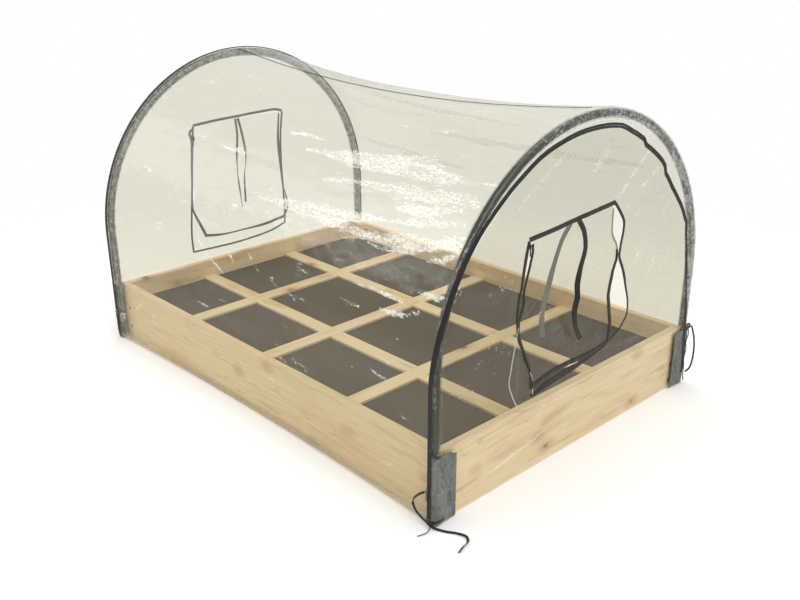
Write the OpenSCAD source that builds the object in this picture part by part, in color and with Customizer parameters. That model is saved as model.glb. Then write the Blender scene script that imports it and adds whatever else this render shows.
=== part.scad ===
// Raised softwood bed with a planting grid, under a clear film tunnel cover.
// Frame: origin on the ground at the middle of the bed, +X along the bed to
// the near end, +Y across the bed, +Z up. Millimetres.

/* [Bed] */
// Outside length of the bed
bed_l = 1200; // [1100:10:1300]
// Outside width of the bed
bed_w = 832; // [780:2:880]
// Height of the boards
bed_h = 153; // [145:1:165]
// Thickness of the boards
board_t = 17; // [15:1:19]
// Height of the growing medium's surface
fill_h = 103; // [90:1:110]
// Side of the square corner posts
post_w = 28; // [24:1:34]

/* [Planting grid] */
// Width of a grid slat
slat_w = 40; // [34:1:44]
// Thickness of a grid slat
slat_t = 5.5; // [4:0.5:12]
// Distance between the slats that run across
pitch_x = 309; // [280:1:320]
// Distance between the slats that run along
pitch_y = 287; // [260:1:300]
// How far the cross slats sit towards the far end
shift_x = 37; // [0:1:40]
// How far the long slats sit towards the front
shift_y = 7.5; // [0:0.5:15]

/* [Hoops] */
// Distance of each hoop's plane from the middle
hoop_x = 597; // [597:1:597]
// Radius of the hoop's centre line
hoop_r = 427; // [427:1:427]
// Height where the straight legs meet the arch
leg_h = 295; // [285:1:305]
// Outside radius of the pole
pole_r = 8; // [7:0.5:8]
// Bore radius of the pole
pole_bore = 6.5; // [5:0.5:6.5]
// Outside radius of the film sleeve round the pole
sleeve_r = 10.5; // [9.5:0.5:10.5]

/* [Cover] */
// How far the roof film hangs below the hoops at mid length
sag = 40; // [0:5:45]
// Film thickness as modelled
film_t = 1; // [0.8:0.1:1]
// Width of each window
win_w = 300; // [240:10:320]
// Sideways place of the near window's middle
near_win_y = -36; // [-40:2:0]
// Height of each window's lower edge
win_z0 = 200; // [190:5:220]
// Height of each window's upper edge
win_z1 = 530; // [500:5:540]
// Width of one half of a zip tape
tape_w = 6; // [5:0.5:7]
// Width of each half of the arch zip
zip_w = 4.6; // [4:0.2:6]

/* [Hidden] */
hl = bed_l/2;
hw = bed_w/2;
ph = hoop_r;
arc_len = PI*ph;
z_leg0 = 8;
leg_len = leg_h - z_leg0;
path_len = 2*leg_len + arc_len;
panel_x = hl + 1.3;          // inner face of the end film
rim_z = bed_h + 3.5;         // fold line of an end panel
screw_r = 2;

pine = [0.84, 0.74, 0.58];
soil_c = [0.42, 0.39, 0.35];
pole_c = [0.20, 0.24, 0.23];
film_c = [0.90, 0.90, 0.86, 0.35];
tape_c = [0.10, 0.10, 0.09];
pocket_c = [0.33, 0.35, 0.33];
metal_c = [0.55, 0.55, 0.53];

// ---------- bed ----------
long_screw_z = [35, 88];
end_screw_z = [20, 62];

// a countersunk screw along +Y with its head's face at y = 0
module screw() {
  rotate([-90, 0, 0]) {
    cylinder(r1 = 4, r2 = screw_r, h = 2.2, $fn = 32);
    translate([0, 0, 2.2]) cylinder(r = screw_r, h = 33.8, $fn = 32);
  }
}
module screw_hole(len) {
  rotate([-90, 0, 0]) {
    translate([0, 0, -0.05]) cylinder(r1 = 4.15, r2 = screw_r + 0.08, h = 2.3, $fn = 32);
    cylinder(r = screw_r + 0.08, h = len, $fn = 32);
  }
}
module at_long_screws() {
  for (sx = [-1, 1], z = long_screw_z)
    translate([sx*(hl - board_t - post_w/2), -hw, z]) children();
}
module at_end_screws() {
  for (sy = [-1, 1], z = end_screw_z)
    translate([hl, sy*(hw - board_t - post_w/2), z]) rotate([0, 0, 90]) children();
}
module long_board() {
  difference() {
    translate([-hl, -hw, 0]) cube([bed_l, board_t, bed_h]);
    at_long_screws() screw_hole(board_t + 1);
  }
}
module end_board() {
  difference() {
    translate([hl - board_t, -hw + board_t + 0.1, 0]) cube([board_t, bed_w - 2*board_t - 0.2, bed_h]);
    at_end_screws() screw_hole(board_t + 1);
  }
}
module all_screw_holes(len) {
  for (m = [0, 1]) rotate([0, 0, 180*m]) {
    at_long_screws() screw_hole(len);
    at_end_screws() screw_hole(len);
  }
}
module front_board() { color(pine) long_board(); }
module back_board() { color(pine) rotate([0, 0, 180]) long_board(); }
module near_end_board() { color(pine) end_board(); }
module far_end_board() { color(pine) rotate([0, 0, 180]) end_board(); }
module corner_posts() {
  color(pine) difference() {
    for (sx = [-1, 1], sy = [-1, 1])
      translate([sx*(hl - board_t - post_w/2) - post_w/2, sy*(hw - board_t - post_w/2) - post_w/2, 0])
        cube([post_w, post_w, fill_h - 2]);
    all_screw_holes(40);
  }
}
module board_screws() {
  color(metal_c) for (m = [0, 1]) rotate([0, 0, 180*m]) {
    at_long_screws() screw();
    at_end_screws() screw();
  }
}
module growing_medium() {
  g = 0.3;
  color(soil_c) difference() {
    translate([-hl + board_t + g, -hw + board_t + g, 0])
      cube([bed_l - 2*board_t - 2*g, bed_w - 2*board_t - 2*g, fill_h]);
    for (sx = [-1, 1], sy = [-1, 1])
      translate([sx*(hl - board_t - post_w/2) - post_w/2 - g, sy*(hw - board_t - post_w/2) - post_w/2 - g, -1])
        cube([post_w + 2*g, post_w + 2*g, fill_h + 2]);
  }
}

// ---------- planting grid: halved joints, all flush ----------
slat_xs = [for (i = [-1:1]) i*pitch_x - shift_x];
slat_ys = [-pitch_y/2 - shift_y, pitch_y/2 - shift_y];
fit = 0.15;
module long_slat(y) {
  color(pine) difference() {
    translate([-hl + board_t + 0.5, y - slat_w/2, fill_h]) cube([bed_l - 2*board_t - 1, slat_w, slat_t]);
    for (x = slat_xs) translate([x - slat_w/2 - fit, y - slat_w, fill_h + slat_t/2 - fit/2])
      cube([slat_w + 2*fit, 2*slat_w, slat_t]);
  }
}
module cross_slat(x) {
  color(pine) difference() {
    translate([x - slat_w/2, -hw + board_t + 0.5, fill_h]) cube([slat_w, bed_w - 2*board_t - 1, slat_t]);
    for (y = slat_ys) translate([x - slat_w, y - slat_w/2 - fit, fill_h - slat_t])
      cube([2*slat_w, slat_w + 2*fit, slat_t*1.5 + fit/2]);
  }
}
module front_long_slat() { long_slat(slat_ys[0]); }
module back_long_slat() { long_slat(slat_ys[1]); }
module far_cross_slat() { cross_slat(slat_xs[0]); }
module middle_cross_slat() { cross_slat(slat_xs[1]); }
module near_cross_slat() { cross_slat(slat_xs[2]); }

// ---------- hoops ----------
module in_hoop_plane(e) { translate([e*hoop_x, 0, leg_h]) rotate([90, 0, 90]) children(); }
module ring_arc(r1, r2) {
  rotate_extrude(angle = 180, $fn = 96) translate([ph, 0]) difference() {
    circle(r = r1, $fn = 48);
    circle(r = r2, $fn = 48);
  }
}
module hoop_arch(e) { color(pole_c) in_hoop_plane(e) ring_arc(pole_r, pole_bore); }
module hoop_legs(e) {
  color(pole_c) for (s = [-1, 1]) translate([e*hoop_x, s*ph, 4]) difference() {
    cylinder(r = pole_r, h = leg_h - 4.1, $fn = 48);
    translate([0, 0, -1]) cylinder(r = pole_bore, h = leg_h, $fn = 48);
  }
}
module hoop_ferrules(e) {
  color(metal_c) for (s = [-1, 1]) {
    translate([e*hoop_x, s*ph, leg_h - 35]) cylinder(r = pole_bore - 0.06, h = 35, $fn = 48);
    translate([e*hoop_x, 0, leg_h]) mirror([0, s < 0 ? 1 : 0, 0]) rotate([90, 0, 90])
      rotate_extrude(angle = 4.6, $fn = 96) translate([ph, 0]) circle(r = pole_bore - 0.06, $fn = 48);
  }
}
module hoop_sleeve(e) {
  color(film_c) {
    in_hoop_plane(e) ring_arc(sleeve_r, pole_r + 0.8);
    for (s = [-1, 1]) translate([e*hoop_x, s*ph, 6]) difference() {
      cylinder(r = sleeve_r, h = leg_h - 6, $fn = 48);
      translate([0, 0, -1]) cylinder(r = pole_r + 0.8, h = leg_h, $fn = 48);
    }
  }
}
module near_hoop_arch() { hoop_arch(1); }
module near_hoop_legs() { hoop_legs(1); }
module near_hoop_ferrules() { hoop_ferrules(1); }
module near_hoop_sleeve() { hoop_sleeve(1); }
module far_hoop_arch() { hoop_arch(-1); }
module far_hoop_legs() { hoop_legs(-1); }
module far_hoop_ferrules() { hoop_ferrules(-1); }
module far_hoop_sleeve() { hoop_sleeve(-1); }

// ---------- tunnel film ----------
// The roof is a saddle: it hangs from the hoops and is pulled in between them.
sheet_x = hoop_x - sleeve_r - 0.5;
r_out = ph + sleeve_r;
function dip(x) = 1 - pow(x/sheet_x, 2);
// a point of the film's outer face, t from 0 at the skirt's foot to 1 at the ridge, side s
function sheet_pt(x, t, s, off) =
  let (d = sag*dip(x),
       yl = r_out - 0.35*d,
       z0 = 6, foot = hw + 6 + (r_out - hw - 6)*(1 - dip(x)))
  t < 0.25 ? let (k = t/0.25, z = z0 + (leg_h - z0)*k, y = foot + (yl - foot)*k) [x, s*(y - off), z]
           : let (a = 90*(t - 0.25)/0.75, r = r_out - d*(0.35 + 0.65*sin(a)) - off)
             [x, s*max(r*cos(a), 0.6), leg_h + r*sin(a)];
function sheet_grid(s, off, nu, nv) =
  [for (i = [0:nu], j = [0:nv]) sheet_pt(-sheet_x + 2*sheet_x*i/nu, j/nv, s, off)];
// closed shell between two grids of the same size
module shell(a, b, nu, nv) {
  w = nv + 1;
  n = (nu + 1)*w;
  polyhedron(points = concat(a, b), faces = concat(
    [for (i = [0:nu-1], j = [0:nv-1]) [i*w + j, i*w + j + 1, (i+1)*w + j]],
    [for (i = [0:nu-1], j = [0:nv-1]) [i*w + j + 1, (i+1)*w + j + 1, (i+1)*w + j]],
    [for (i = [0:nu-1], j = [0:nv-1]) [n + i*w + j, n + (i+1)*w + j, n + i*w + j + 1]],
    [for (i = [0:nu-1], j = [0:nv-1]) [n + i*w + j + 1, n + (i+1)*w + j, n + (i+1)*w + j + 1]],
    [for (i = [0:nu-1]) [i*w, (i+1)*w, n + i*w]],
    [for (i = [0:nu-1]) [(i+1)*w, n + (i+1)*w, n + i*w]],
    [for (i = [0:nu-1]) [i*w + nv, n + i*w + nv, (i+1)*w + nv]],
    [for (i = [0:nu-1]) [(i+1)*w + nv, n + i*w + nv, n + (i+1)*w + nv]],
    [for (j = [0:nv-1]) [j, n + j, j + 1]],
    [for (j = [0:nv-1]) [j + 1, n + j, n + j + 1]],
    [for (j = [0:nv-1]) [nu*w + j, nu*w + j + 1, n + nu*w + j]],
    [for (j = [0:nv-1]) [nu*w + j + 1, n + nu*w + j + 1, n + nu*w + j]]));
}
module tunnel_side(s) {
  nu = 12;
  nv = 20;
  color(film_c) mirror([0, s > 0 ? 0 : 1, 0])
    shell(sheet_grid(1, film_t, nu, nv), sheet_grid(1, 0, nu, nv), nu, nv);
}
module tunnel_sheet_front() { tunnel_side(-1); }
module tunnel_sheet_back() { tunnel_side(1); }
function seam_row(y, dz, nu) = [for (i = [0:nu]) let (x = -sheet_x + 2*sheet_x*i/nu) [x, y, leg_h + r_out - sag*dip(x) + dz]];
module ridge_seam() {
  nu = 24;
  a = [for (i = [0:nu], j = [0:1]) let (x = -sheet_x + 2*sheet_x*i/nu) [x, -4 + 8*j, leg_h + r_out - sag*dip(x) + 0.4]];
  b = [for (p = a) p + [0, 0, 0.8]];
  color(tape_c) shell(b, a, nu, 1);
}

// ---------- end film below the rim ----------
module apron(e) {
  color(film_c) mirror([e > 0 ? 0 : 1, 0, 0]) translate([panel_x, -hw + 2, 6]) cube([film_t, bed_w - 4, bed_h - 5.5]);
}
module near_apron() { apron(1); }
module far_apron() { apron(-1); }

// ---------- corner pockets that hold the foot of each leg ----------
pocket_h = 146;
// plan outline of the fabric, wrapped round the leg and along the end board
pw = sleeve_r + 1.4;
function pocket_path(o) = concat(
  [for (a = [200:12:356]) [hoop_x + (pw + o)*cos(a), -ph + (pw + o)*sin(a)]],
  [[hoop_x + pw + o, -ph + 4], [hl + 7.2 + o, -hw + 3], [hl + 7.2 + o, -hw + 36]]);
module pocket() {
  o = pocket_path(1.2);
  i = pocket_path(0);
  n = len(o);
  translate([0, 0, 3]) linear_extrude(pocket_h)
    polygon(concat(o, [for (k = [0:n-1]) i[n - 1 - k]]));
  // floor of the pocket under the pole
  translate([hoop_x, -ph, 1.4]) cylinder(r = sleeve_r, h = 1.2, $fn = 48);
}
module corner_pockets() {
  color(pocket_c) for (e = [0, 1], s = [0, 1]) mirror([e, 0, 0]) mirror([0, s, 0]) pocket();
}
// a narrow tape loop round each pocket's foot
module corner_ties() {
  color(tape_c) for (e = [0, 1], s = [0, 1]) mirror([e, 0, 0]) mirror([0, s, 0]) {
    o = pocket_path(3.4);
    i = pocket_path(1.9);
    n = len(o) - 1;
    translate([0, 0, 7]) linear_extrude(6)
      polygon(concat([for (k = [3:n-1]) o[k]], [for (k = [n-1:-1:3]) i[k]]));
  }
  // loose ends of the front near tie, lying on the ground
  color(tape_c) {
    loose_end([[hl + 2, -hw - 28], [hl + 32, -hw - 17], [hl + 70, -hw - 3], [hl + 83, -hw - 12], [hl + 92, -hw - 48]], 7);
    loose_end([[hl + 9, -hw - 36], [hl + 9, -hw - 50], [hl + 5, -hw - 64]], 3);
  }
}
// a flat strap through points on the ground, mitred where it turns
function strap_dir(p, k) = let (v = p[min(k + 1, len(p) - 1)] - p[max(k - 1, 0)]) v/norm(v);
module loose_end(p, w) {
  side = [for (k = [0:len(p)-1]) let (d = strap_dir(p, k)) [-d[1], d[0]]*w/2];
  translate([0, 0, 0.4]) linear_extrude(1) polygon(concat(
    [for (k = [0:len(p)-1]) p[k] + side[k]],
    [for (k = [len(p)-1:-1:0]) p[k] - side[k]]));
}

// ---------- zips round the arches ----------
// centre line of the hoop by length from the front leg's foot
function hc(s) = s < leg_len ? [-ph, z_leg0 + s]
  : s < leg_len + arc_len ? let (a = 180 - 180*(s - leg_len)/arc_len) [ph*cos(a), leg_h + ph*sin(a)]
  : [ph, leg_h - (s - leg_len - arc_len)];
function hn(s) = s < leg_len ? [-1, 0]
  : s < leg_len + arc_len ? let (a = 180 - 180*(s - leg_len)/arc_len) [cos(a), sin(a)]
  : [1, 0];
// where the zip lies round the pole: angle (0 outside the hoop, 90 in front, 180 inside) and distance
near_beta = [[0, 0], [300, 0], [340, 15], [440, 45], [520, 90], [600, 130], [700, 152], [957, 163], [1350, 160], [1480, 120], [1628, 98], [1915, 95]];
near_dist = [[0, 14.5], [300, 14.5], [340, 14.2], [440, 13.8], [520, 13.8], [600, 16], [700, 22], [957, 27], [1350, 29], [1480, 15], [1628, 13.8], [1915, 13.8]];
far_beta = [[0, 0], [300, 0], [700, 4], [957, 0], [1628, 6], [1915, 6]];
far_dist = [[0, 14.5], [957, 14], [1915, 14.5]];
// one point of the tape's cross-section: c across the tape, h above its middle
function zip_pt(e, s, c, h) =
  let (b = lookup(s, e > 0 ? near_beta : far_beta), d = lookup(s, e > 0 ? near_dist : far_dist),
       w = min(b, 90),
       rho = d*cos(b) - c*sin(w) + h*cos(w),
       xi = d*sin(b) + c*cos(w) + h*sin(w),
       p = hc(s) + hn(s)*rho)
  [e*(hoop_x + xi), p[0], p[1]];
module zip_tape(e, s0, s1, c0, c1, n) {
  a = [for (i = [0:n], c = [c0, c1]) zip_pt(e, s0 + (s1 - s0)*i/n, c, 0.5)];
  b = [for (i = [0:n], c = [c0, c1]) zip_pt(e, s0 + (s1 - s0)*i/n, c, -0.5)];
  if (e > 0) shell(b, a, n, 1); else shell(a, b, n, 1);
}
s_rim = rim_z + 12 - z_leg0;      // the panel's half starts clear of the fold
s_low = rim_z + 9.5 - z_leg0;
module zip_outer(e) { color(tape_c) zip_tape(e, 10, path_len - 22, -0.6 - zip_w, -0.6, 72); }
module zip_inner(e) { color(tape_c) zip_tape(e, s_rim, path_len - s_rim, 0.6, 0.6 + zip_w, 60); }
module zip_lower(e) {
  color(tape_c) {
    zip_tape(e, 10, s_low, 0.6, 0.6 + zip_w, 6);
    zip_tape(e, path_len - s_low, path_len - 22, 0.6, 0.6 + zip_w, 6);
  }
}
module near_arch_zip_outer() { zip_outer(1); }
module near_arch_zip_inner() { zip_inner(1); }
module near_arch_zip_lower() { zip_lower(1); }
module far_arch_zip_outer() { zip_outer(-1); }
module far_arch_zip_inner() { zip_inner(-1); }
module far_arch_zip_lower() { zip_lower(-1); }

// ---------- end panels and their windows, drawn for the near end ----------
panel_r = ph - sleeve_r - 3;
module end_film(wy) {
  difference() {
    translate([panel_x, 0, 0]) rotate([90, 0, 90]) linear_extrude(film_t) union() {
      difference() {
        translate([0, leg_h]) circle(r = panel_r, $fn = 96);
        translate([-panel_r - 1, leg_h - 2*panel_r]) square([2*panel_r + 2, 2*panel_r]);
      }
      translate([-panel_r, rim_z + 1]) square([2*panel_r, leg_h - rim_z - 1 + 0.01]);
    }
    translate([panel_x - 1, wy - win_w/2, win_z0]) cube([film_t + 2, win_w, win_z1 - win_z0]);
  }
}
tx = panel_x + film_t + 0.3;  // inner face of tapes sewn to the panel
// a U of tape: down both sides and across the bottom
module u_tape(y_out, z_bot, z_top, w) {
  translate([tx, -y_out, z_bot]) cube([1, 2*y_out, w]);
  for (s = [-1, 1]) translate([tx, s*(y_out - w/2) - w/2, z_bot]) cube([1, w, z_top - z_bot]);
}
function win_y(e) = e > 0 ? near_win_y : 0;
module at_end(e) { mirror([e > 0 ? 0 : 1, 0, 0]) children(); }
module at_win(e) { at_end(e) translate([0, win_y(e), 0]) children(); }
module end_panel(e) { color(film_c) at_end(e) end_film(win_y(e)); }
module frame_tape(e) { color(tape_c) at_win(e) u_tape(win_w/2 + tape_w + 1, win_z0 - tape_w - 1, win_z1 - 2, tape_w); }
module top_binding(e) { color(tape_c) at_win(e) translate([tx, -win_w/2 - 7, win_z1 + 1]) cube([1, win_w + 14, 10]); }
module inner_tie(e) { color(tape_c) at_win(e) translate([panel_x - 2.5, -14, win_z1 - 262]) cube([1, 13, 270]); }
module window_flap(e) { color(film_c) at_win(e) translate([panel_x, -win_w/2 + 4, win_z0 + 4]) cube([film_t, win_w - 8, win_z1 - win_z0 - 7]); }
module flap_tape(e) { color(tape_c) at_win(e) u_tape(win_w/2 - 4, win_z0 + 4, win_z1 - 6, tape_w); }
module outer_tie(e) { color(tape_c) at_win(e) translate([tx + 2.2, -10, win_z1 - 262]) cube([1, 13, 256]); }
module near_end_panel() { end_panel(1); }
module far_end_panel() { end_panel(-1); }
module near_window_frame_tape() { frame_tape(1); }
module far_window_frame_tape() { frame_tape(-1); }
module near_window_top_binding() { top_binding(1); }
module far_window_top_binding() { top_binding(-1); }
module near_window_inner_tie() { inner_tie(1); }
module far_window_inner_tie() { inner_tie(-1); }
module near_window_flap() { window_flap(1); }
module far_window_flap() { window_flap(-1); }
module near_window_flap_tape() { flap_tape(1); }
module far_window_flap_tape() { flap_tape(-1); }
module near_window_outer_tie() { outer_tie(1); }
module far_window_outer_tie() { outer_tie(-1); }

// ---------- zip sliders and pull tabs ----------
// Slider: a waisted plate with two ears and a bar; its back is at z = 0 of this
// local frame, its outside faces +Z, the zip runs along Y.
ear_h = 3.4;
module slider_body() {
  linear_extrude(1.6) polygon([[-2.4, -6], [2.4, -6], [3.1, 0], [3.1, 5], [1.4, 6.5], [-1.4, 6.5], [-3.1, 5], [-3.1, 0]]);
  for (s = [-1, 1]) translate([s*2.1 - 0.5, -1.4, 1.5]) cube([1, 2.8, ear_h]);
  translate([-2.1, 0, ear_h]) rotate([0, 90, 0]) cylinder(r = 0.8, h = 4.2, $fn = 24);
}
// Pull tab: hangs from the bar along -Y
module tab_body() {
  translate([0, 0, ear_h]) difference() {
    union() {
      rotate([0, 90, 0]) cylinder(r = 1.7, h = 2.6, center = true, $fn = 32);
      translate([-1.3, -20, -0.6]) cube([2.6, 20, 1.2]);
    }
    rotate([0, 90, 0]) cylinder(r = 0.88, h = 4, center = true, $fn = 24);
    translate([0, -16, -2]) cylinder(r = 0.7, h = 4, $fn = 24);
  }
}
arch_slider_z = 78;
// outside the front leg, on the cover's half of the tape
module at_arch_slider(e) {
  p = zip_pt(1, arch_slider_z - z_leg0, -0.6 - tape_w/2, 0.5);
  f = zip_pt(-1, arch_slider_z - z_leg0, -0.6 - tape_w/2, 0.5);
  q = e > 0 ? p : f;
  w = lookup(arch_slider_z - z_leg0, e > 0 ? near_beta : far_beta);
  translate([q[0], q[1], q[2]]) rotate([0, 0, e > 0 ? w : -w]) translate([0, -0.35, 0]) rotate([90, 0, 0]) children();
}
win_slider_z = win_z1 - 26;
module at_win_slider(e) {
  at_win(e) translate([tx + 1.35, -win_w/2 - 1 - tape_w/2, win_slider_z]) rotate([90, 0, 90]) children();
}
module near_arch_slider() { color(metal_c) at_arch_slider(1) slider_body(); }
module near_arch_pull_tab() { color(metal_c) at_arch_slider(1) tab_body(); }
module far_arch_slider() { color(metal_c) at_arch_slider(-1) slider_body(); }
module far_arch_pull_tab() { color(metal_c) at_arch_slider(-1) tab_body(); }
module near_window_slider() { color(tape_c) at_win_slider(1) slider_body(); }
module near_window_pull_tab() { color(tape_c) at_win_slider(1) tab_body(); }
module far_window_slider() { color(tape_c) at_win_slider(-1) slider_body(); }
module far_window_pull_tab() { color(tape_c) at_win_slider(-1) tab_body(); }

// ---------- assembly ----------
front_board();
back_board();
near_end_board();
far_end_board();
corner_posts();
board_screws();
growing_medium();
front_long_slat();
back_long_slat();
near_cross_slat();
middle_cross_slat();
far_cross_slat();
near_hoop_arch();
near_hoop_legs();
near_hoop_ferrules();
near_hoop_sleeve();
far_hoop_arch();
far_hoop_legs();
far_hoop_ferrules();
far_hoop_sleeve();
tunnel_sheet_front();
tunnel_sheet_back();
ridge_seam();
near_apron();
far_apron();
corner_pockets();
corner_ties();
near_arch_zip_outer();
near_arch_zip_lower();
far_arch_zip_outer();
far_arch_zip_lower();
near_end_panel();
near_arch_zip_inner();
near_window_frame_tape();
near_window_top_binding();
near_window_inner_tie();
far_end_panel();
far_arch_zip_inner();
far_window_frame_tape();
far_window_top_binding();
far_window_inner_tie();
near_window_flap();
near_window_flap_tape();
near_window_outer_tie();
far_window_flap();
far_window_flap_tape();
far_window_outer_tie();
near_arch_slider();
near_arch_pull_tab();
far_arch_slider();
far_arch_pull_tab();
near_window_slider();
near_window_pull_tab();
far_window_slider();
far_window_pull_tab();
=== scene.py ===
import bpy
import math
import numpy as np
from mathutils import Matrix, Vector


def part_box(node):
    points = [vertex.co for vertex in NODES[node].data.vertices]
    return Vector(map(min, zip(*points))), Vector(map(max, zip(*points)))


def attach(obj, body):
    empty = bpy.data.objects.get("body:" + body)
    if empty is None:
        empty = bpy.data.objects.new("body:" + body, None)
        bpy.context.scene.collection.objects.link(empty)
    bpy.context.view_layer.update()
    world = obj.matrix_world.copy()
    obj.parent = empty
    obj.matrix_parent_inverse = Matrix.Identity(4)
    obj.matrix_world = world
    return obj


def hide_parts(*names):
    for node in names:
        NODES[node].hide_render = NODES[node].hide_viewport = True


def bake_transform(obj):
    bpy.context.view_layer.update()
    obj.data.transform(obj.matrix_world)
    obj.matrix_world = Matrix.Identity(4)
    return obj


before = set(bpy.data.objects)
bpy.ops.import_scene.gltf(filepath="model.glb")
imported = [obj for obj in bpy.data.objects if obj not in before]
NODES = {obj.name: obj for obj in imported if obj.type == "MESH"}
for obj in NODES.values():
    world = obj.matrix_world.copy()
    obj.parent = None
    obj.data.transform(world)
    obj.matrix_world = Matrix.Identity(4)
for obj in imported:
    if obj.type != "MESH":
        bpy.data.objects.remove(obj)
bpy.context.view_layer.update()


# ------------------------------------------------------------------ sizes, read from the CAD frame
def cbox(n):
    lo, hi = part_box(n)
    return np.array(lo), np.array(hi)


alo, ahi = cbox("near_hoop_arch")
HX = (alo[0] + ahi[0]) / 2           # hoop plane
PR = (ahi[0] - alo[0]) / 2           # pole radius
LEG = alo[2]                         # where legs meet the arch
PH = ahi[1] - PR                     # hoop radius
slo, shi = cbox("near_hoop_sleeve")
SR = (shi[0] - slo[0]) / 2           # sleeve radius
blo, bhi = cbox("front_board")
HL, HW, BH = bhi[0], -blo[1], bhi[2]
tlo, thi = cbox("tunnel_sheet_back")
SHEET_X = thi[0]
R_OUT = thi[2] - LEG
wlo, whi = cbox("near_window_flap")
flo, fhi = cbox("far_window_flap")
RIM = BH + 0.0035
PX = 0.6035                          # the end film's plane and the fold line
Z0 = 0.008
LEG_LEN = LEG - Z0
ARC = math.pi * PH
PATH = 2 * LEG_LEN + ARC
SAG = 0.040


# ------------------------------------------------------------------ noise
def _hash(ix, iy, seed):
    n = (ix.astype(np.int64) * 374761393 + iy.astype(np.int64) * 668265263 + seed * 974711) & 0xFFFFFFFF
    n = ((n ^ (n >> 13)) * 1274126177) & 0xFFFFFFFF
    n = (n ^ (n >> 16)) & 0xFFFFFF
    return n / float(0xFFFFFF)


def vn(x, y, seed=0):
    x, y = np.asarray(x, float), np.asarray(y, float)
    x, y = np.broadcast_arrays(x, y)
    ix, iy = np.floor(x), np.floor(y)
    fx, fy = x - ix, y - iy
    fx, fy = fx * fx * fx * (fx * (fx * 6 - 15) + 10), fy * fy * fy * (fy * (fy * 6 - 15) + 10)
    a = _hash(ix, iy, seed) * (1 - fx) + _hash(ix + 1, iy, seed) * fx
    b = _hash(ix, iy + 1, seed) * (1 - fx) + _hash(ix + 1, iy + 1, seed) * fx
    return a * (1 - fy) + b * fy


def fbm(x, y, seed=0, octaves=3):
    t, a, s = 0.0, 0.5, 0.0
    for k in range(octaves):
        t = t + a * (vn(x * 2 ** k, y * 2 ** k, seed + 17 * k) * 2 - 1)
        s += a
        a *= 0.5
    return t / s


def ridge(x, y, seed=0):
    return 1 - np.abs(2 * vn(x, y, seed) - 1) * 2


def smooth(a, b, v):
    t = np.clip((v - a) / (b - a), 0, 1)
    return t * t * (3 - 2 * t)


def spline(points, n):
    """Catmull-Rom through the points, n samples evenly spaced by length."""
    p = np.array(points, float)
    p = np.vstack([2 * p[0] - p[1], p, 2 * p[-1] - p[-2]])
    out = []
    for i in range(1, len(p) - 2):
        t = np.linspace(0, 1, 24, endpoint=False)[:, None]
        out.append(0.5 * (2 * p[i] + (p[i + 1] - p[i - 1]) * t + (2 * p[i - 1] - 5 * p[i] + 4 * p[i + 1] - p[i + 2]) * t ** 2
                          + (3 * p[i] - p[i - 1] - 3 * p[i + 1] + p[i + 2]) * t ** 3))
    out.append(p[-2][None])
    q = np.vstack(out)
    return resample(q, n)


def resample(q, n):
    d = np.concatenate([[0], np.cumsum(np.linalg.norm(np.diff(q, axis=0), axis=1))])
    s = np.linspace(0, d[-1], n)
    return np.stack([np.interp(s, d, q[:, k]) for k in range(q.shape[1])], 1)


# ------------------------------------------------------------------ mesh building
def add_object(name, verts, faces, mat, smooth_shade=True, attrs=None):
    me = bpy.data.meshes.new(name)
    me.from_pydata([tuple(v) for v in np.asarray(verts, float).tolist()], [], [tuple(f) for f in faces])
    me.polygons.foreach_set("use_smooth", [smooth_shade] * len(me.polygons))
    for k, v in (attrs or {}).items():
        a = me.attributes.new(k, "FLOAT", "POINT")
        a.data.foreach_set("value", np.asarray(v, np.float32).ravel())
    me.materials.append(mat)
    me.update()
    ob = bpy.data.objects.new(name, me)
    bpy.context.scene.collection.objects.link(ob)
    return ob


def grid_faces(nu, nv, cu=False, cv=False, flip=False):
    i = np.arange(nu if cu else nu - 1)[:, None]
    j = np.arange(nv if cv else nv - 1)[None, :]
    a = i * nv + j
    b = ((i + 1) % nu) * nv + j
    c = ((i + 1) % nu) * nv + (j + 1) % nv
    d = i * nv + (j + 1) % nv
    f = np.stack([a + 0 * j, b + 0 * j, c + 0 * j, d + 0 * j], -1).reshape(-1, 4)
    return f[:, ::-1] if flip else f


def sheet(name, P, mat, attrs=None, cu=False, cv=False, flip=False, thick=0.0):
    nu, nv, _ = P.shape
    ob = add_object(name, P.reshape(-1, 3), grid_faces(nu, nv, cu, cv, flip).tolist(), mat, True, attrs)
    if thick:
        m = ob.modifiers.new("thickness", "SOLIDIFY")
        m.thickness = thick
        m.offset = 0
        m.use_even_offset = False
    return ob


def frames_for(path, ref):
    """Unit tangents, and width vectors made square to them from ref."""
    t = np.gradient(path, axis=0)
    t /= np.maximum(np.linalg.norm(t, axis=1, keepdims=True), 1e-9)
    w = ref - (ref * t).sum(1, keepdims=True) * t
    w /= np.maximum(np.linalg.norm(w, axis=1, keepdims=True), 1e-9)
    return t, w, np.cross(t, w)


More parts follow.
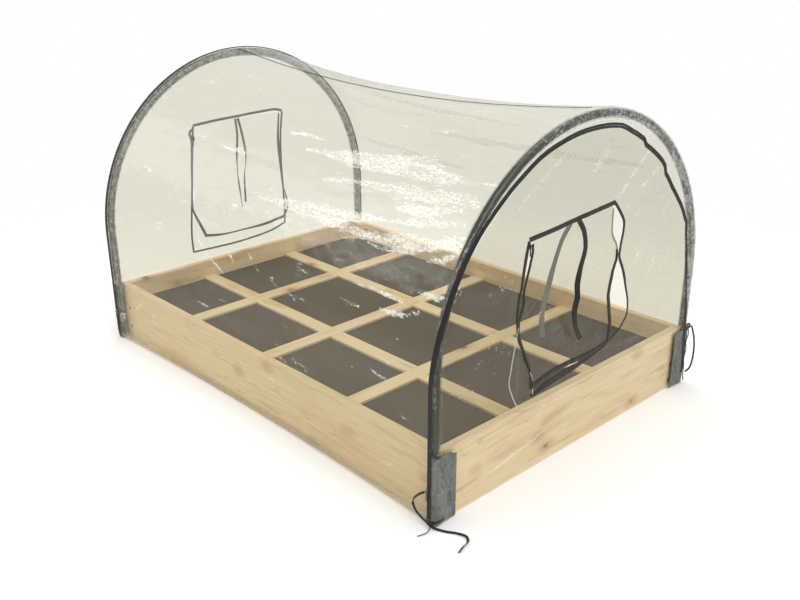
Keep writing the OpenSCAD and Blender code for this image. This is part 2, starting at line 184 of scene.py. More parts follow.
def band(name, path, ref, width, thick, mat, teeth=0, profile=None):
    """A closed flat band along path. ref gives the direction across it. With teeth, that edge (+1 or -1) carries a coil."""
    path = np.asarray(path, float)
    ref = np.asarray(ref, float)
    if ref.ndim == 1:
        ref = np.repeat(ref[None], len(path), 0)
    t, w, n = frames_for(path, ref)
    h = width / 2
    e = thick / 2
    width_scale = np.ones(len(path)) if profile is None else np.asarray(profile)
    prof = [(-h, -e * 0.5), (-h * 0.85, -e), (0, -e), (h * 0.85, -e), (h, -e * 0.5), (h, e * 0.5), (h * 0.85, e), (0, e), (-h * 0.85, e), (-h, e * 0.5)]
    P = np.zeros((len(path), len(prof), 3))
    step = np.concatenate([[0], np.cumsum(np.linalg.norm(np.diff(path, axis=0), axis=1))])
    tooth = 0.5 + 0.5 * np.sign(np.sin(step / 0.0028 * 2 * math.pi))
    for k, (a, b) in enumerate(prof):
        aa = np.full(len(path), a) * width_scale
        bb = np.full(len(path), b)
        if teeth and a * teeth > h * 0.5:
            bb = bb + np.sign(b) * tooth * 0.0006 + np.sign(b) * 0.0002
            aa = aa + teeth * tooth * 0.0004
        P[:, k] = path + w * aa[:, None] + n * bb[:, None]
    nu, nv, _ = P.shape
    f = grid_faces(nu, nv, cv=True).tolist()
    f.append(list(range(nv))[::-1])
    f.append([(nu - 1) * nv + k for k in range(nv)])
    return add_object(name, P.reshape(-1, 3), f, mat, True)


def join(name, parts):
    """One object from several, with their data in the row frame."""
    verts, faces, base = [], [], 0
    mat = parts[0].data.materials[0]
    for o in parts:
        v = np.array([x.co for x in o.data.vertices], float).reshape(-1, 3)
        verts.append(v)
        faces += [[base + k for k in p.vertices] for p in o.data.polygons]
        base += len(v)
        bpy.data.objects.remove(o)
    return add_object(name, np.vstack(verts), faces, mat, True)


# ------------------------------------------------------------------ materials
def srgb(r, g, b, a=1.0):
    f = lambda c: c / 12.92 if c <= 0.04045 else ((c + 0.055) / 1.055) ** 2.4
    return (f(r / 255), f(g / 255), f(b / 255), a)


class Mat:
    def __init__(self, name):
        self.m = bpy.data.materials.new(name)
        self.m.use_nodes = True
        self.t = self.m.node_tree
        self.t.nodes.clear()
        self.out = self.t.nodes.new("ShaderNodeOutputMaterial")
        self.co = self.n("ShaderNodeTexCoord").outputs["Object"]

    def n(self, kind, ins=None, **props):
        node = self.t.nodes.new(kind)
        for k, v in props.items():
            setattr(node, k, v)
        for k, v in (ins or {}).items():
            s = node.inputs[k]
            if isinstance(v, bpy.types.NodeSocket):
                self.t.links.new(v, s)
            else:
                s.default_value = v
        return node

    def math(self, op, a, b=0.0, c=None, clamp=False):
        ins = {0: a, 1: b}
        if c is not None:
            ins[2] = c
        return self.n("ShaderNodeMath", ins, operation=op, use_clamp=clamp).outputs[0]

    def mix(self, fac, a, b, blend="MIX"):
        node = self.n("ShaderNodeMix", None, data_type="RGBA", blend_type=blend)
        for i, v in ((0, fac), (6, a), (7, b)):
            s = node.inputs[i]
            if isinstance(v, bpy.types.NodeSocket):
                self.t.links.new(v, s)
            else:
                s.default_value = v
        return node.outputs[2]

    def span(self, v, a, b, c=0.0, d=1.0, kind="SMOOTHSTEP"):
        return self.n("ShaderNodeMapRange", {"Value": v, "From Min": a, "From Max": b, "To Min": c, "To Max": d}, interpolation_type=kind).outputs[0]

    def scale(self, v, x, y, z, loc=(0, 0, 0)):
        return self.n("ShaderNodeMapping", {"Vector": v, "Scale": (x, y, z), "Location": loc}).outputs[0]

    def noise(self, v, scale, detail=3.0, rough=0.5, dist=0.0):
        return self.n("ShaderNodeTexNoise", {"Vector": v, "Scale": scale, "Detail": detail, "Roughness": rough, "Distortion": dist}).outputs["Fac"]

    def bump(self, h, dist, strength=1.0, normal=None):
        ins = {"Height": h, "Distance": dist, "Strength": strength}
        if normal is not None:
            ins["Normal"] = normal
        return self.n("ShaderNodeBump", ins).outputs[0]

    def done(self, shader):
        self.t.links.new(shader, self.out.inputs["Surface"])
        return self.m


def pine(name, grain="x", seed=0.0, light=(224, 205, 170), dark=(204, 174, 130), wide="z"):
    """Planed softwood: growth rings round a pith behind the board, sparse knots, fibres, and a slow stain."""
    g = Mat(name)
    sep = g.n("ShaderNodeSeparateXYZ", {"Vector": g.co})
    gx, gy, gz = sep.outputs
    along, across = (gx, gy) if grain == "x" else (gy, gx)
    v = g.n("ShaderNodeCombineXYZ", {"X": along, "Y": across, "Z": gz}).outputs[0]
    v = g.n("ShaderNodeVectorMath", {0: v, 1: (seed * 3.17, seed * 0.21, seed * 0.13)}, operation="ADD").outputs[0]
    s2 = g.n("ShaderNodeSeparateXYZ", {"Vector": v})
    a, c, z = s2.outputs
    w = z if wide == "z" else c
    # knots
    kv = g.n("ShaderNodeCombineXYZ", {"X": g.math("MULTIPLY", a, 8.5), "Y": g.math("MULTIPLY", w, 15.0), "Z": seed}).outputs[0]
    vor = g.n("ShaderNodeTexVoronoi", {"Vector": kv, "Scale": 1.0, "Randomness": 0.9}, feature="F1", voronoi_dimensions="3D")
    kd = vor.outputs["Distance"]
    pick = g.span(g.n("ShaderNodeSeparateColor", {"Color": vor.outputs["Color"]}).outputs[0], 0.42, 0.48)
    wob = g.noise(g.scale(v, 40, 60, 60), 1.0, 2.0)
    kd2 = g.math("ADD", kd, g.math("MULTIPLY", g.math("SUBTRACT", wob, 0.5), 0.05))
    halo = g.math("MULTIPLY", g.span(kd2, 0.36, 0.06), pick)
    core = g.math("MULTIPLY", g.span(kd2, 0.115, 0.055), pick)
    # growth rings
    warp = g.noise(g.scale(v, 1.3, 9, 9), 1.0, 2.0)
    warp2 = g.noise(g.scale(v, 5, 30, 30), 1.0, 2.0)
    dc = g.math("ADD", c, 0.045 if wide == "z" else 0.012)
    dz = g.math("SUBTRACT", z, 0.09 + 0.02 * math.sin(seed * 7))
    r = g.math("SQRT", g.math("ADD", g.math("MULTIPLY", dc, dc), g.math("MULTIPLY", dz, dz)))
    r = g.math("ADD", r, g.math("MULTIPLY", warp, 0.052))
    r = g.math("ADD", r, g.math("MULTIPLY", warp2, 0.006))
    r = g.math("ADD", r, g.math("MULTIPLY", halo, 0.020))
    ph = g.math("FRACT", g.math("MULTIPLY", r, 1 / 0.0075))
    late = g.math("MULTIPLY", g.span(ph, 0.25, 0.92), g.span(ph, 1.0, 0.93))
    soft = g.noise(g.scale(v, 2.2, 16, 16), 1.0, 3.0)
    fibre = g.noise(g.scale(v, 30, 900, 900), 1.0, 3.0, 0.6)
    fibre2 = g.noise(g.scale(v, 9, 260, 260), 1.0, 3.0, 0.6)
    col = g.mix(g.math("MULTIPLY", late, g.span(soft, 0.3, 0.7, 0.10, 0.50)), srgb(*light), srgb(*dark))
    col = g.mix(g.math("MULTIPLY", g.span(g.noise(g.scale(v, 3.0, 14, 14, (5, 5, 5)), 1.0, 3.0), 0.46, 0.72), 0.45), col, srgb(199, 165, 119))
    col = g.mix(g.math("MULTIPLY", g.span(g.noise(g.scale(v, 1.7, 7, 7, (9, 2, 1)), 1.0, 2.0), 0.50, 0.72), 0.40), col, srgb(232, 214, 178))
    col = g.mix(g.span(fibre2, 0.40, 0.75, 0.0, 0.22), col, srgb(182, 148, 98))
    col = g.mix(g.span(fibre, 0.35, 0.70, 0.0, 0.16), col, srgb(240, 222, 188))
    streaks = g.noise(g.scale(v, 6.5, 46, 46, (3, 1, 7)), 1.0, 4.0, 0.65, 0.8)
    col = g.mix(g.span(streaks, 0.54, 0.74, 0.0, 0.48), col, srgb(172, 134, 92))
    col = g.mix(g.math("MULTIPLY", halo, 0.50), col, srgb(176, 134, 90))
    kring = g.math("FRACT", g.math("MULTIPLY", kd2, 60.0))
    kcol = g.mix(g.span(kring, 0.2, 0.8), srgb(140, 92, 55), srgb(112, 70, 40))
    col = g.mix(g.math("MULTIPLY", core, 0.75), col, kcol)
    height = g.math("ADD", g.math("MULTIPLY", fibre, 0.5), g.math("ADD", g.math("MULTIPLY", late, 0.35), g.math("MULTIPLY", core, 0.8)))
    nrm = g.bump(height, 0.0006, 0.5)
    rough = g.span(fibre2, 0.2, 0.8, 0.52, 0.72)
    b = g.n("ShaderNodeBsdfPrincipled", {"Base Color": col, "Roughness": rough, "Normal": nrm, "Specular IOR Level": 0.35})
    return g.done(b.outputs[0])


def soil_mat():
    g = Mat("growing_medium")
    big = g.noise(g.scale(g.co, 1, 1, 0.2), 3.0, 3.0)
    grain = g.noise(g.co, 260.0, 4.0, 0.65)
    crumb = g.n("ShaderNodeTexVoronoi", {"Vector": g.co, "Scale": 150.0, "Randomness": 1.0}, feature="F1").outputs["Distance"]
    col = g.mix(g.span(big, 0.3, 0.7), srgb(91, 85, 73), srgb(100, 94, 82))
    col = g.mix(g.span(grain, 0.35, 0.75, 0.0, 0.5), col, srgb(72, 66, 55))
    col = g.mix(g.span(crumb, 0.0, 0.25, 0.22, 0.0), col, srgb(112, 105, 92))
    h = g.math("ADD", g.math("MULTIPLY", grain, 0.6), g.math("MULTIPLY", crumb, -0.4))
    b = g.n("ShaderNodeBsdfPrincipled", {"Base Color": col, "Roughness": 0.95, "Normal": g.bump(h, 0.0012, 0.5), "Specular IOR Level": 0.15})
    return g.done(b.outputs[0])


def pole_mat():
    g = Mat("pole_paint")
    spot = g.noise(g.co, 420.0, 3.0, 0.6)
    slow = g.noise(g.co, 14.0, 3.0)
    col = g.mix(g.span(slow, 0.3, 0.7), srgb(32, 38, 34), srgb(48, 56, 50))
    b = g.n("ShaderNodeBsdfPrincipled", {"Base Color": col, "Roughness": g.span(spot, 0.3, 0.7, 0.28, 0.46), "Normal": g.bump(spot, 0.0002, 0.35),
                                        "Coat Weight": 0.2, "Coat Roughness": 0.2})
    return g.done(b.outputs[0])


def metal_mat(name, base, rough=0.35, metallic=0.85):
    g = Mat(name)
    scr = g.noise(g.scale(g.co, 900, 900, 120), 1.0, 3.0, 0.6)
    wear = g.noise(g.co, 300.0, 3.0)
    col = g.mix(g.span(wear, 0.35, 0.7, 0.0, 0.5), srgb(*base), srgb(*[min(255, c + 50) for c in base]))
    b = g.n("ShaderNodeBsdfPrincipled", {"Base Color": col, "Metallic": metallic, "Roughness": g.span(scr, 0.3, 0.7, rough - 0.08, rough + 0.12),
                                        "Normal": g.bump(scr, 0.0001, 0.4)})
    return g.done(b.outputs[0])


def tape_mat(name="woven_tape", base=(12, 12, 10), lift=(38, 38, 33)):
    """Woven polyester: fine ribs both ways, a little sheen, and a painted highlight that makes the high threads paler.
    """
    g = Mat(name)
    sep = g.n("ShaderNodeSeparateXYZ", {"Vector": g.co})
    wv = g.math("MULTIPLY", g.math("SINE", g.math("MULTIPLY", g.math("ADD", sep.outputs[1], sep.outputs[0]), 5200.0)),
                g.math("SINE", g.math("MULTIPLY", sep.outputs[2], 5200.0)))
    wv = g.span(wv, -0.6, 0.9)
    fuzz = g.noise(g.co, 700.0, 3.0, 0.6)
    # painted highlight: the raised threads of the weave get the paler lift colour
    col = g.mix(g.math("MULTIPLY", wv, g.span(fuzz, 0.3, 0.75)), srgb(*base), srgb(*lift))
    b = g.n("ShaderNodeBsdfPrincipled", {"Base Color": col, "Roughness": 0.72, "Normal": g.bump(g.math("ADD", wv, fuzz), 0.0003, 0.6),
                                        "Sheen Weight": 0.15, "Sheen Roughness": 0.4})
    return g.done(b.outputs[0])


def cloth_mat():
    g = Mat("pocket_cloth")
    sep = g.n("ShaderNodeSeparateXYZ", {"Vector": g.co})
    wv = g.math("MULTIPLY", g.math("SINE", g.math("MULTIPLY", g.math("ADD", sep.outputs[0], sep.outputs[1]), 3400.0)), g.math("SINE", g.math("MULTIPLY", sep.outputs[2], 3400.0)))
    slow = g.noise(g.scale(g.co, 30, 30, 14), 1.0, 4.0, 0.6, 0.6)
    crease = g.noise(g.scale(g.co, 60, 60, 34), 1.0, 4.0, 0.55, 1.2)
    # painted highlight: lighter lines along the creases
    line = g.span(g.math("ABSOLUTE", g.math("SUBTRACT", crease, 0.5)), 0.045, 0.0)
    col = g.mix(g.span(slow, 0.3, 0.7), srgb(74, 79, 74), srgb(112, 117, 110))
    col = g.mix(g.math("MULTIPLY", line, 0.45), col, srgb(160, 163, 156))
    col = g.mix(g.span(wv, -0.5, 1.0, 0.0, 0.2), col, srgb(52, 56, 53))
    h = g.math("ADD", g.math("MULTIPLY", crease, 2.0), g.math("MULTIPLY", wv, 0.12))
    b = g.n("ShaderNodeBsdfPrincipled", {"Base Color": col, "Roughness": 0.55, "Normal": g.bump(h, 0.0022, 0.7)})
    return g.done(b.outputs[0])


def film_mat(name, tint=(0.80, 0.79, 0.725), haze=0.03, haze_col=(0.93, 0.90, 0.78), fine=210.0, glint_gain=1.0, rough=0.10, flow=0.45):
    """Clear film. Light goes straight through, tinted; the surface reflects on a crinkled normal. The point attribute
    glint says where highlights are painted: there small facets turn white, parted by clear creases, under a white veil
    and a weak glow."""
    g = Mat(name)
    gl = g.n("ShaderNodeAttribute", None, attribute_name="glint", attribute_type="GEOMETRY").outputs["Fac"]
    v = g.scale(g.co, flow, 1, 1)
    warp = g.n("ShaderNodeTexNoise", {"Vector": v, "Scale": 55.0, "Detail": 3.0, "Roughness": 0.6})
    off = g.n("ShaderNodeVectorMath", {0: warp.outputs["Color"], 1: (-0.5, -0.5, -0.5)}, operation="ADD").outputs[0]
    off = g.n("ShaderNodeVectorMath", {0: off, "Scale": 0.020}, operation="SCALE").outputs[0]
    vw = g.n("ShaderNodeVectorMath", {0: v, 1: off}, operation="ADD").outputs[0]
    cell = g.n("ShaderNodeTexVoronoi", {"Vector": vw, "Scale": fine, "Randomness": 1.0}, feature="F1")
    edge = g.n("ShaderNodeTexVoronoi", {"Vector": vw, "Scale": fine, "Randomness": 1.0}, feature="DISTANCE_TO_EDGE").outputs["Distance"]
    pick = g.n("ShaderNodeSeparateColor", {"Color": cell.outputs["Color"]}).outputs[0]
    c1 = g.noise(v, 62.0, 4.0, 0.62, 0.9)
    streak = g.noise(g.scale(g.co, flow * 0.35, 1, 1), 95.0, 4.0, 0.6, 0.4)
    # painted highlight: glint and streak noise set how much of the film is painted white
    level = g.math("ADD", g.math("MULTIPLY", gl, 0.78), g.math("MULTIPLY", g.math("SUBTRACT", streak, 0.5), 1.5))
    level = g.math("MULTIPLY", level, g.span(gl, 0.02, 0.20))
    facet = g.span(g.math("SUBTRACT", level, pick), -0.05, 0.20)
    crack = g.span(edge, 0.03, 0.16, 0.35, 1.0)
    rim = g.math("MULTIPLY", g.span(edge, 0.09, 0.02), 0.55)
    white = g.math("MAXIMUM", g.math("MULTIPLY", facet, crack), g.math("MULTIPLY", rim, g.span(level, 0.15, 0.6)))
    white = g.math("MULTIPLY", white, 0.50 * glint_gain, clamp=True)
    painted_glint_veil = g.math("MULTIPLY", g.span(level, 0.15, 0.75), 0.42 * glint_gain, clamp=True)
    height = g.math("ADD", g.math("MULTIPLY", c1, 0.6), g.math("MULTIPLY", pick, g.math("MULTIPLY", gl, 0.35)))
    nrm = g.bump(height, 0.0030, 0.5)
    clear = g.n("ShaderNodeBsdfTransparent", {"Color": (*tint, 1)})
    dif = g.n("ShaderNodeBsdfDiffuse", {"Color": (*haze_col, 1), "Normal": nrm})
    trl = g.n("ShaderNodeBsdfTranslucent", {"Color": (*haze_col, 1), "Normal": nrm})
    milk = g.n("ShaderNodeMixShader", {0: 0.5, 1: dif.outputs[0], 2: trl.outputs[0]})
    body = g.n("ShaderNodeMixShader", {0: g.math("ADD", haze, painted_glint_veil, clamp=True), 1: clear.outputs[0], 2: milk.outputs[0]})
    gloss = g.n("ShaderNodeBsdfGlossy", {"Color": (1, 1, 1, 1), "Roughness": rough, "Normal": nrm})
    edge_on = g.n("ShaderNodeLayerWeight", {"Blend": 0.5, "Normal": nrm}).outputs["Facing"]
    fr = g.math("ADD", 0.022, g.math("MULTIPLY", g.math("POWER", edge_on, 4.5), 0.45))
    surf = g.n("ShaderNodeMixShader", {0: fr, 1: body.outputs[0], 2: gloss.outputs[0]})
    # painted glint: a white shader with a weak emission, so it glows without a lamp
    painted_glint_shader = g.n("ShaderNodeBsdfPrincipled", {"Base Color": (0.985, 0.98, 0.955, 1), "Roughness": 0.3, "Normal": nrm,
                                          "Emission Color": (1, 0.99, 0.96, 1), "Emission Strength": 0.12})
    full = g.n("ShaderNodeMixShader", {0: white, 1: surf.outputs[0], 2: painted_glint_shader.outputs[0]})
    return g.done(full.outputs[0])


M_FILM = film_mat("clear_film", tint=(0.872, 0.862, 0.795), fine=460.0)
# The near panel's film is a darker copy of the clear film, painted shade; the far panel's keeps about the tunnel's
# tint.
M_PANEL = film_mat("panel_film", tint=(0.735, 0.722, 0.650), fine=260.0, flow=1.0, glint_gain=0.60)
M_FAR_PANEL = film_mat("far_panel_film", tint=(0.865, 0.855, 0.790), fine=260.0, flow=1.0, glint_gain=0.60)
M_APRON = film_mat("apron_film", tint=(0.900, 0.892, 0.835), fine=330.0, flow=0.8, glint_gain=0.70)
M_SLEEVE = film_mat("sleeve_film", tint=(0.86, 0.86, 0.83), haze=0.02, haze_col=(0.62, 0.66, 0.64), fine=380.0, glint_gain=0.5, rough=0.14, flow=1.0)
# The far hoop's sleeve is a milkier, paler copy of the sleeve film: painted haze of light reflected by the film in
# front.
M_FAR_SLEEVE = film_mat("far_sleeve_film", tint=(0.86, 0.87, 0.86), haze=0.34, haze_col=(0.74, 0.79, 0.81), fine=380.0, glint_gain=0.7, rough=0.16, flow=1.0)
M_CLEAR_EDGE = film_mat("clear_edge", tint=(0.80, 0.80, 0.78), haze=0.35, haze_col=(0.95, 0.96, 0.95), fine=300.0, flow=1.0)
M_POLE = pole_mat()
M_SOIL = soil_mat()
M_TAPE = tape_mat()
M_TIE = tape_mat("tie_tape", (16, 16, 14), (46, 46, 42))
M_GREY = tape_mat("pale_tape", (116, 124, 124), (172, 178, 176))
# far_tape is a pale blue-grey copy of the black tape for the far end: painted haze of light reflected by the film in
# front.
M_FAR = tape_mat("far_tape", (112, 122, 134), (160, 168, 178))
M_CLOTH = cloth_mat()
M_METAL = metal_mat("slider_metal", (120, 120, 116))
M_BLACK = metal_mat("slider_black", (30, 30, 30), 0.45, 0.3)
M_SCREW = metal_mat("screw_steel", (150, 148, 140), 0.3, 0.95)

# ------------------------------------------------------------------ carried-over CAD nodes get their finish


def paint(node, mat):
    o = NODES[node]
    o.data.materials.clear()
    o.data.materials.append(mat)


paint("front_board", pine("pine_front", "x", 1.0, (224, 205, 172), (205, 178, 134)))
paint("back_board", pine("pine_back", "x", 2.3, (234, 212, 176), (214, 182, 138)))
paint("near_end_board", pine("pine_near_end", "y", 3.1, (238, 220, 190), (220, 194, 154)))
paint("far_end_board", pine("pine_far_end", "y", 4.7, (236, 216, 186), (214, 184, 146)))
paint("corner_posts", pine("pine_posts", "x", 5.2))
for k, n in enumerate(["front_long_slat", "back_long_slat"]):
    paint(n, pine("pine_" + n, "x", 6.0 + k * 1.3, (228, 210, 178), (212, 184, 142), "c"))
for k, n in enumerate(["near_cross_slat", "middle_cross_slat", "far_cross_slat"]):
    paint(n, pine("pine_" + n, "y", 9.0 + k * 1.7, (228, 210, 178), (212, 184, 142), "c"))
paint("growing_medium", M_SOIL)
paint("board_screws", M_SCREW)
for e in ("near", "far"):
    paint(e + "_hoop_arch", M_POLE)
    paint(e + "_hoop_legs", M_POLE)
    paint(e + "_hoop_ferrules", M_SCREW)
    paint(e + "_arch_slider", M_METAL)
    paint(e + "_arch_pull_tab", M_METAL)
    paint(e + "_window_slider", M_BLACK)
    paint(e + "_window_pull_tab", M_BLACK)


# ------------------------------------------------------------------ along a hoop
def hoop_c(s):
    s = np.asarray(s, float)
    a = math.pi - math.pi * np.clip((s - LEG_LEN) / ARC, 0, 1)
    y = PH * np.cos(a)
    z = np.where(s < LEG_LEN, Z0 + s, np.where(s > LEG_LEN + ARC, LEG - (s - LEG_LEN - ARC), LEG + PH * np.sin(a)))
    return y, z


def hoop_n(s):
    a = math.pi - math.pi * np.clip((np.asarray(s, float) - LEG_LEN) / ARC, 0, 1)
    return np.cos(a), np.sin(a)


def hoop_point(e, s, rho, xi):
    y, z = hoop_c(s)
    ny, nz = hoop_n(s)
    return np.stack([e * (HX + xi) + 0 * y, y + ny * rho, z + nz * rho], -1)


def s_theta(deg):
    return LEG_LEN + ARC * (180 - deg) / 180


# where each zip lies round its pole: length from the front foot, radial distance, and how far in front
NEAR_ZIP = [(0, .0145, 0), (LEG_LEN, .0145, 0), (s_theta(174), .0140, .004), (s_theta(167), .0125, .0080), (s_theta(161), .010, .0110),
            (s_theta(149), .007, .0130), (s_theta(142), .003, .0138), (s_theta(137), -.003, .0138), (s_theta(130), -.009, .0125),
            (s_theta(122), -.014, .010), (s_theta(113), -.019, .007), (s_theta(105), -.024, .006), (s_theta(96), -.025, .006),
            (s_theta(87), -.024, .006), (s_theta(78), -.0235, .006), (s_theta(71), -.029, .006), (s_theta(64.5), -.033, .006), (s_theta(62.5), -.041, .006),
            (s_theta(56), -.042, .006), (s_theta(50), -.041, .006), (s_theta(47.2), -.043, .006), (s_theta(45), -.053, .007), (s_theta(38), -.053, .008), (s_theta(30), -.046, .009),
            (s_theta(22), -.037, .009), (s_theta(19.5), -.0315, .009), (s_theta(16), -.035, .009), (s_theta(8), -.034, .009), (s_theta(0), -.029, .010), (LEG_LEN + ARC + .106, -.014, .0128),
            (LEG_LEN + ARC + .195, -.004, .0140), (PATH, .002, .0140)]
FAR_ZIP = [(0, .0145, 0), (LEG_LEN, .0145, 0), (s_theta(150), .0142, .001), (s_theta(90), .0140, 0), (s_theta(30), .0142, .002),
           (s_theta(0), .0145, .0015), (PATH, .0145, .0015)]


def zip_path(e, s, c, lift=0.0):
    """Points c across the zip from its middle (minus is the cover's half, plus the panel's)."""
    tab = np.array(NEAR_ZIP if e > 0 else FAR_ZIP)
    rho, xi = np.interp(s, tab[:, 0], tab[:, 1]), np.interp(s, tab[:, 0], tab[:, 2])
    if e > 0:
        k = smooth(s_theta(150), s_theta(120), s) * smooth(PATH - .10, LEG_LEN + ARC, s)
        rho = rho + k * (fbm(s * 9, 0 * s, 5) * .0025)
    w = np.clip(np.arctan2(xi, rho), 0, math.pi / 2)
    r2 = rho - c * np.sin(w) + lift * np.cos(w)
    x2 = xi + c * np.cos(w) + lift * np.sin(w)
    return hoop_point(e, s, r2, x2)


def off_hoop(P, e, clear=0.0123):
    """Pushes points that come too near the pole's sleeve out on to its surface, at the front."""
    y, z, x = P[..., 1], P[..., 2], P[..., 0] * e
    zc = np.maximum(z - LEG, 0)
    r = np.where(z > LEG, np.hypot(y, zc), np.abs(y))
    rho, xi = r - PH, x - HX
    d = np.hypot(rho, xi)
    k = d < clear
    xi2 = np.where(k, np.sqrt(np.maximum(clear ** 2 - np.clip(rho, -clear, clear) ** 2, 0)), xi)
    xi2 = np.where(k & (xi2 < 0.0005), np.maximum(xi, xi2), xi2)
    Q = P.copy()
    Q[..., 0] = e * (HX + xi2)
    return Q


for e, tag in ((1, "near"), (-1, "far")):
    n = 1300
    # the two halves of the arch zip, and the parts of the panel's half below the rim
    s_rim, s_low = RIM + .012 - Z0, RIM + .0095 - Z0

    def tape(name, s0, s1, c, teeth, count, mat=M_TAPE):
        s = np.linspace(s0, s1, count)
        mid = zip_path(e, s, c)
        side = zip_path(e, s, c + .002) - zip_path(e, s, c - .002)
        return band(name, mid, side, .0046, .0011, mat, teeth)

    outer = tape(tag + "_zip_cover_half", .010, PATH - (.030 if e > 0 else .022), -.0029, 1, n)
    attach(outer, "cover"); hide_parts(tag + "_arch_zip_outer")
    inner = tape(tag + "_zip_panel_half", s_rim, PATH - s_rim, .0029, -1, n)
    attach(inner, tag + "_end"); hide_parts(tag + "_arch_zip_inner")
    low = join(tag + "_zip_lower_half", [tape("tmp_a", .010, s_low, .0029, -1, 120), tape("tmp_b", PATH - s_low, PATH - .022, .0029, -1, 120)])
    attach(low, "cover"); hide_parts(tag + "_arch_zip_lower")

    # film strip from the sleeve to the cover's half of the zip
    s = np.linspace(.012, PATH - .02, 620)
    edge = zip_path(e, s, -.0052)
    tab = np.array(NEAR_ZIP if e > 0 else FAR_ZIP)
    beta = np.degrees(np.arctan2(np.interp(s, tab[:, 0], tab[:, 2]), np.interp(s, tab[:, 0], tab[:, 1])))
    att = np.radians(np.minimum(beta - 48, 112))
    root = hoop_point(e, s, (SR + .0007) * np.cos(att), (SR + .0007) * np.sin(att))
    cols = 9
    k = np.linspace(0, 1, cols)[None, :, None]
    G = root[:, None] * (1 - k) + edge[:, None] * k
    puff = np.sin(np.pi * k[..., 0]) * (.0012 + .0030 * (fbm(s[:, None] * 60, k[..., 0] * 2, 11 + e) * .5 + .3) * (np.linalg.norm(edge - root, axis=1)[:, None] / .03))
    G[..., 0] += e * puff
    G = off_hoop(G, e, SR + .0008)
    # painted highlights: random crinkle glints on the gusset film
    gl = np.clip(.35 + .9 * fbm(s[:, None] * 25, k[..., 0] * 3, 4), 0, 1)
    gus = sheet(tag + "_zip_gusset", G, M_SLEEVE, {"glint": gl})
    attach(gus, "cover")

    # crinkled sleeve over the pole
    ns, na = 720, 26
    s = np.linspace(.0, PATH, ns)[:, None]
    a = np.linspace(0, 2 * math.pi, na, endpoint=False)[None, :]
    L, A = s + 0 * a, a + 0 * s
    twist = A / (2 * math.pi) * 6
    crink = .55 * ridge(L * 75 + twist * .55, twist * .9, 21 + e) + .45 * fbm(L * 160, twist * 1.4, 33 + e)
    rr = SR - .0003 + .0011 * crink
    rr = np.clip(rr, PR + .0007, SR + .0011)
    P = hoop_point(e, L, rr * np.cos(A), rr * np.sin(A))
    # Painted highlights: how strongly the sleeve's crinkles are painted white along the hoop, more on the far hoop's
    # back half.
    if e > 0:
        amount = .05 + .22 * smooth(.26, .16, s) + .45 * smooth(s_theta(135), s_theta(108), s) + .22 * smooth(s_theta(100), s_theta(60), s)
        # painted highlight: on the left of the arch the crinkle glints are painted only on its inner, zip side
        amount = amount * (1 - .6 * smooth(s_theta(95), s_theta(125), s) * smooth(.6, -.4, np.cos(A - math.pi)))
    else:
        amount = .45 + .35 * smooth(.5 * PATH, .62 * PATH, s) + 0 * A
    gl = np.clip(amount * (.30 + .9 * (crink * .5 + .5)), 0, 1)
    slv = sheet(tag + "_sleeve_film", P, M_SLEEVE if e > 0 else M_FAR_SLEEVE, {"glint": gl}, cv=True)
    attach(slv, "cover"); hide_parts(tag + "_hoop_sleeve")


# ------------------------------------------------------------------ tunnel film
def dip(x):
    return 1 - np.minimum(1, np.abs(x) / SHEET_X) ** 2


def tunnel_point(x, t, s, off):
    d = SAG * dip(x)
    r_out = R_OUT + .0007 * (np.abs(x) > SHEET_X)
    foot = HW + .006 + (r_out - HW - .006) * (1 - dip(x))
    yl = r_out - .35 * d
    k = np.clip(t / .25, 0, 1)
    leg_y, leg_z = foot + (yl - foot) * k - off, .006 + (LEG - .006) * k
    a = np.radians(90) * np.clip((t - .25) / .75, 0, 1)
    r = r_out - d * (.35 + .65 * np.sin(a)) - off
    arc = t > .25
    y = np.where(arc, r * np.cos(a), leg_y)
    z = np.where(arc, LEG + r * np.sin(a), leg_z)
    return np.stack([x + 0 * t, s * y, z], -1)


# Painted highlights: where the tunnel film is painted white as crinkle glints.
FRONT_STREAKS = [
    [(0.034, 0.666, 0.003), (0.116, 0.666, 0.007), (0.191, 0.671, 0.015), (0.267, 0.672, 0.020), (0.349, 0.671, 0.022), (0.462, 0.671, 0.017), (0.522, 0.669, 0.007), (0.597, 0.671, 0.002)],
    [(0.139, 0.603, 0.003), (0.237, 0.613, 0.005), (0.327, 0.622, 0.010), (0.439, 0.627, 0.014), (0.544, 0.632, 0.011), (0.597, 0.627, 0.003)],
    [(0.379, 0.593, 0.002), (0.409, 0.593, 0.006), (0.484, 0.603, 0.008), (0.559, 0.617, 0.006)],
    [(-0.026, 0.516, 0.003), (0.041, 0.521, 0.006), (0.094, 0.526, 0.011), (0.199, 0.531, 0.015), (0.289, 0.540, 0.009), (0.372, 0.560, 0.007), (0.582, 0.589, 0.004)],
    [(0.199, 0.511, 0.003), (0.267, 0.516, 0.008), (0.394, 0.521, 0.011), (0.454, 0.526, 0.015), (0.529, 0.540, 0.013), (0.597, 0.555, 0.010)],
    [(0.522, 0.507, 0.004), (0.559, 0.516, 0.007), (0.597, 0.531, 0.005)],
    [(0.360, 0.422, 0.0012), (0.409, 0.425, 0.0030), (0.447, 0.425, 0.0042), (0.492, 0.425, 0.0015)],
    [(0.544, 0.453, 0.0015), (0.582, 0.458, 0.0048), (0.597, 0.463, 0.002)],
    [(0.432, 0.391, 0.0018), (0.477, 0.396, 0.0045), (0.544, 0.420, 0.0020)],
    [(-0.060, 0.700, 0.002), (0.010, 0.704, 0.004), (0.060, 0.702, 0.002)],
    [(-0.240, 0.610, 0.002), (-0.180, 0.612, 0.004), (-0.120, 0.610, 0.002)]]
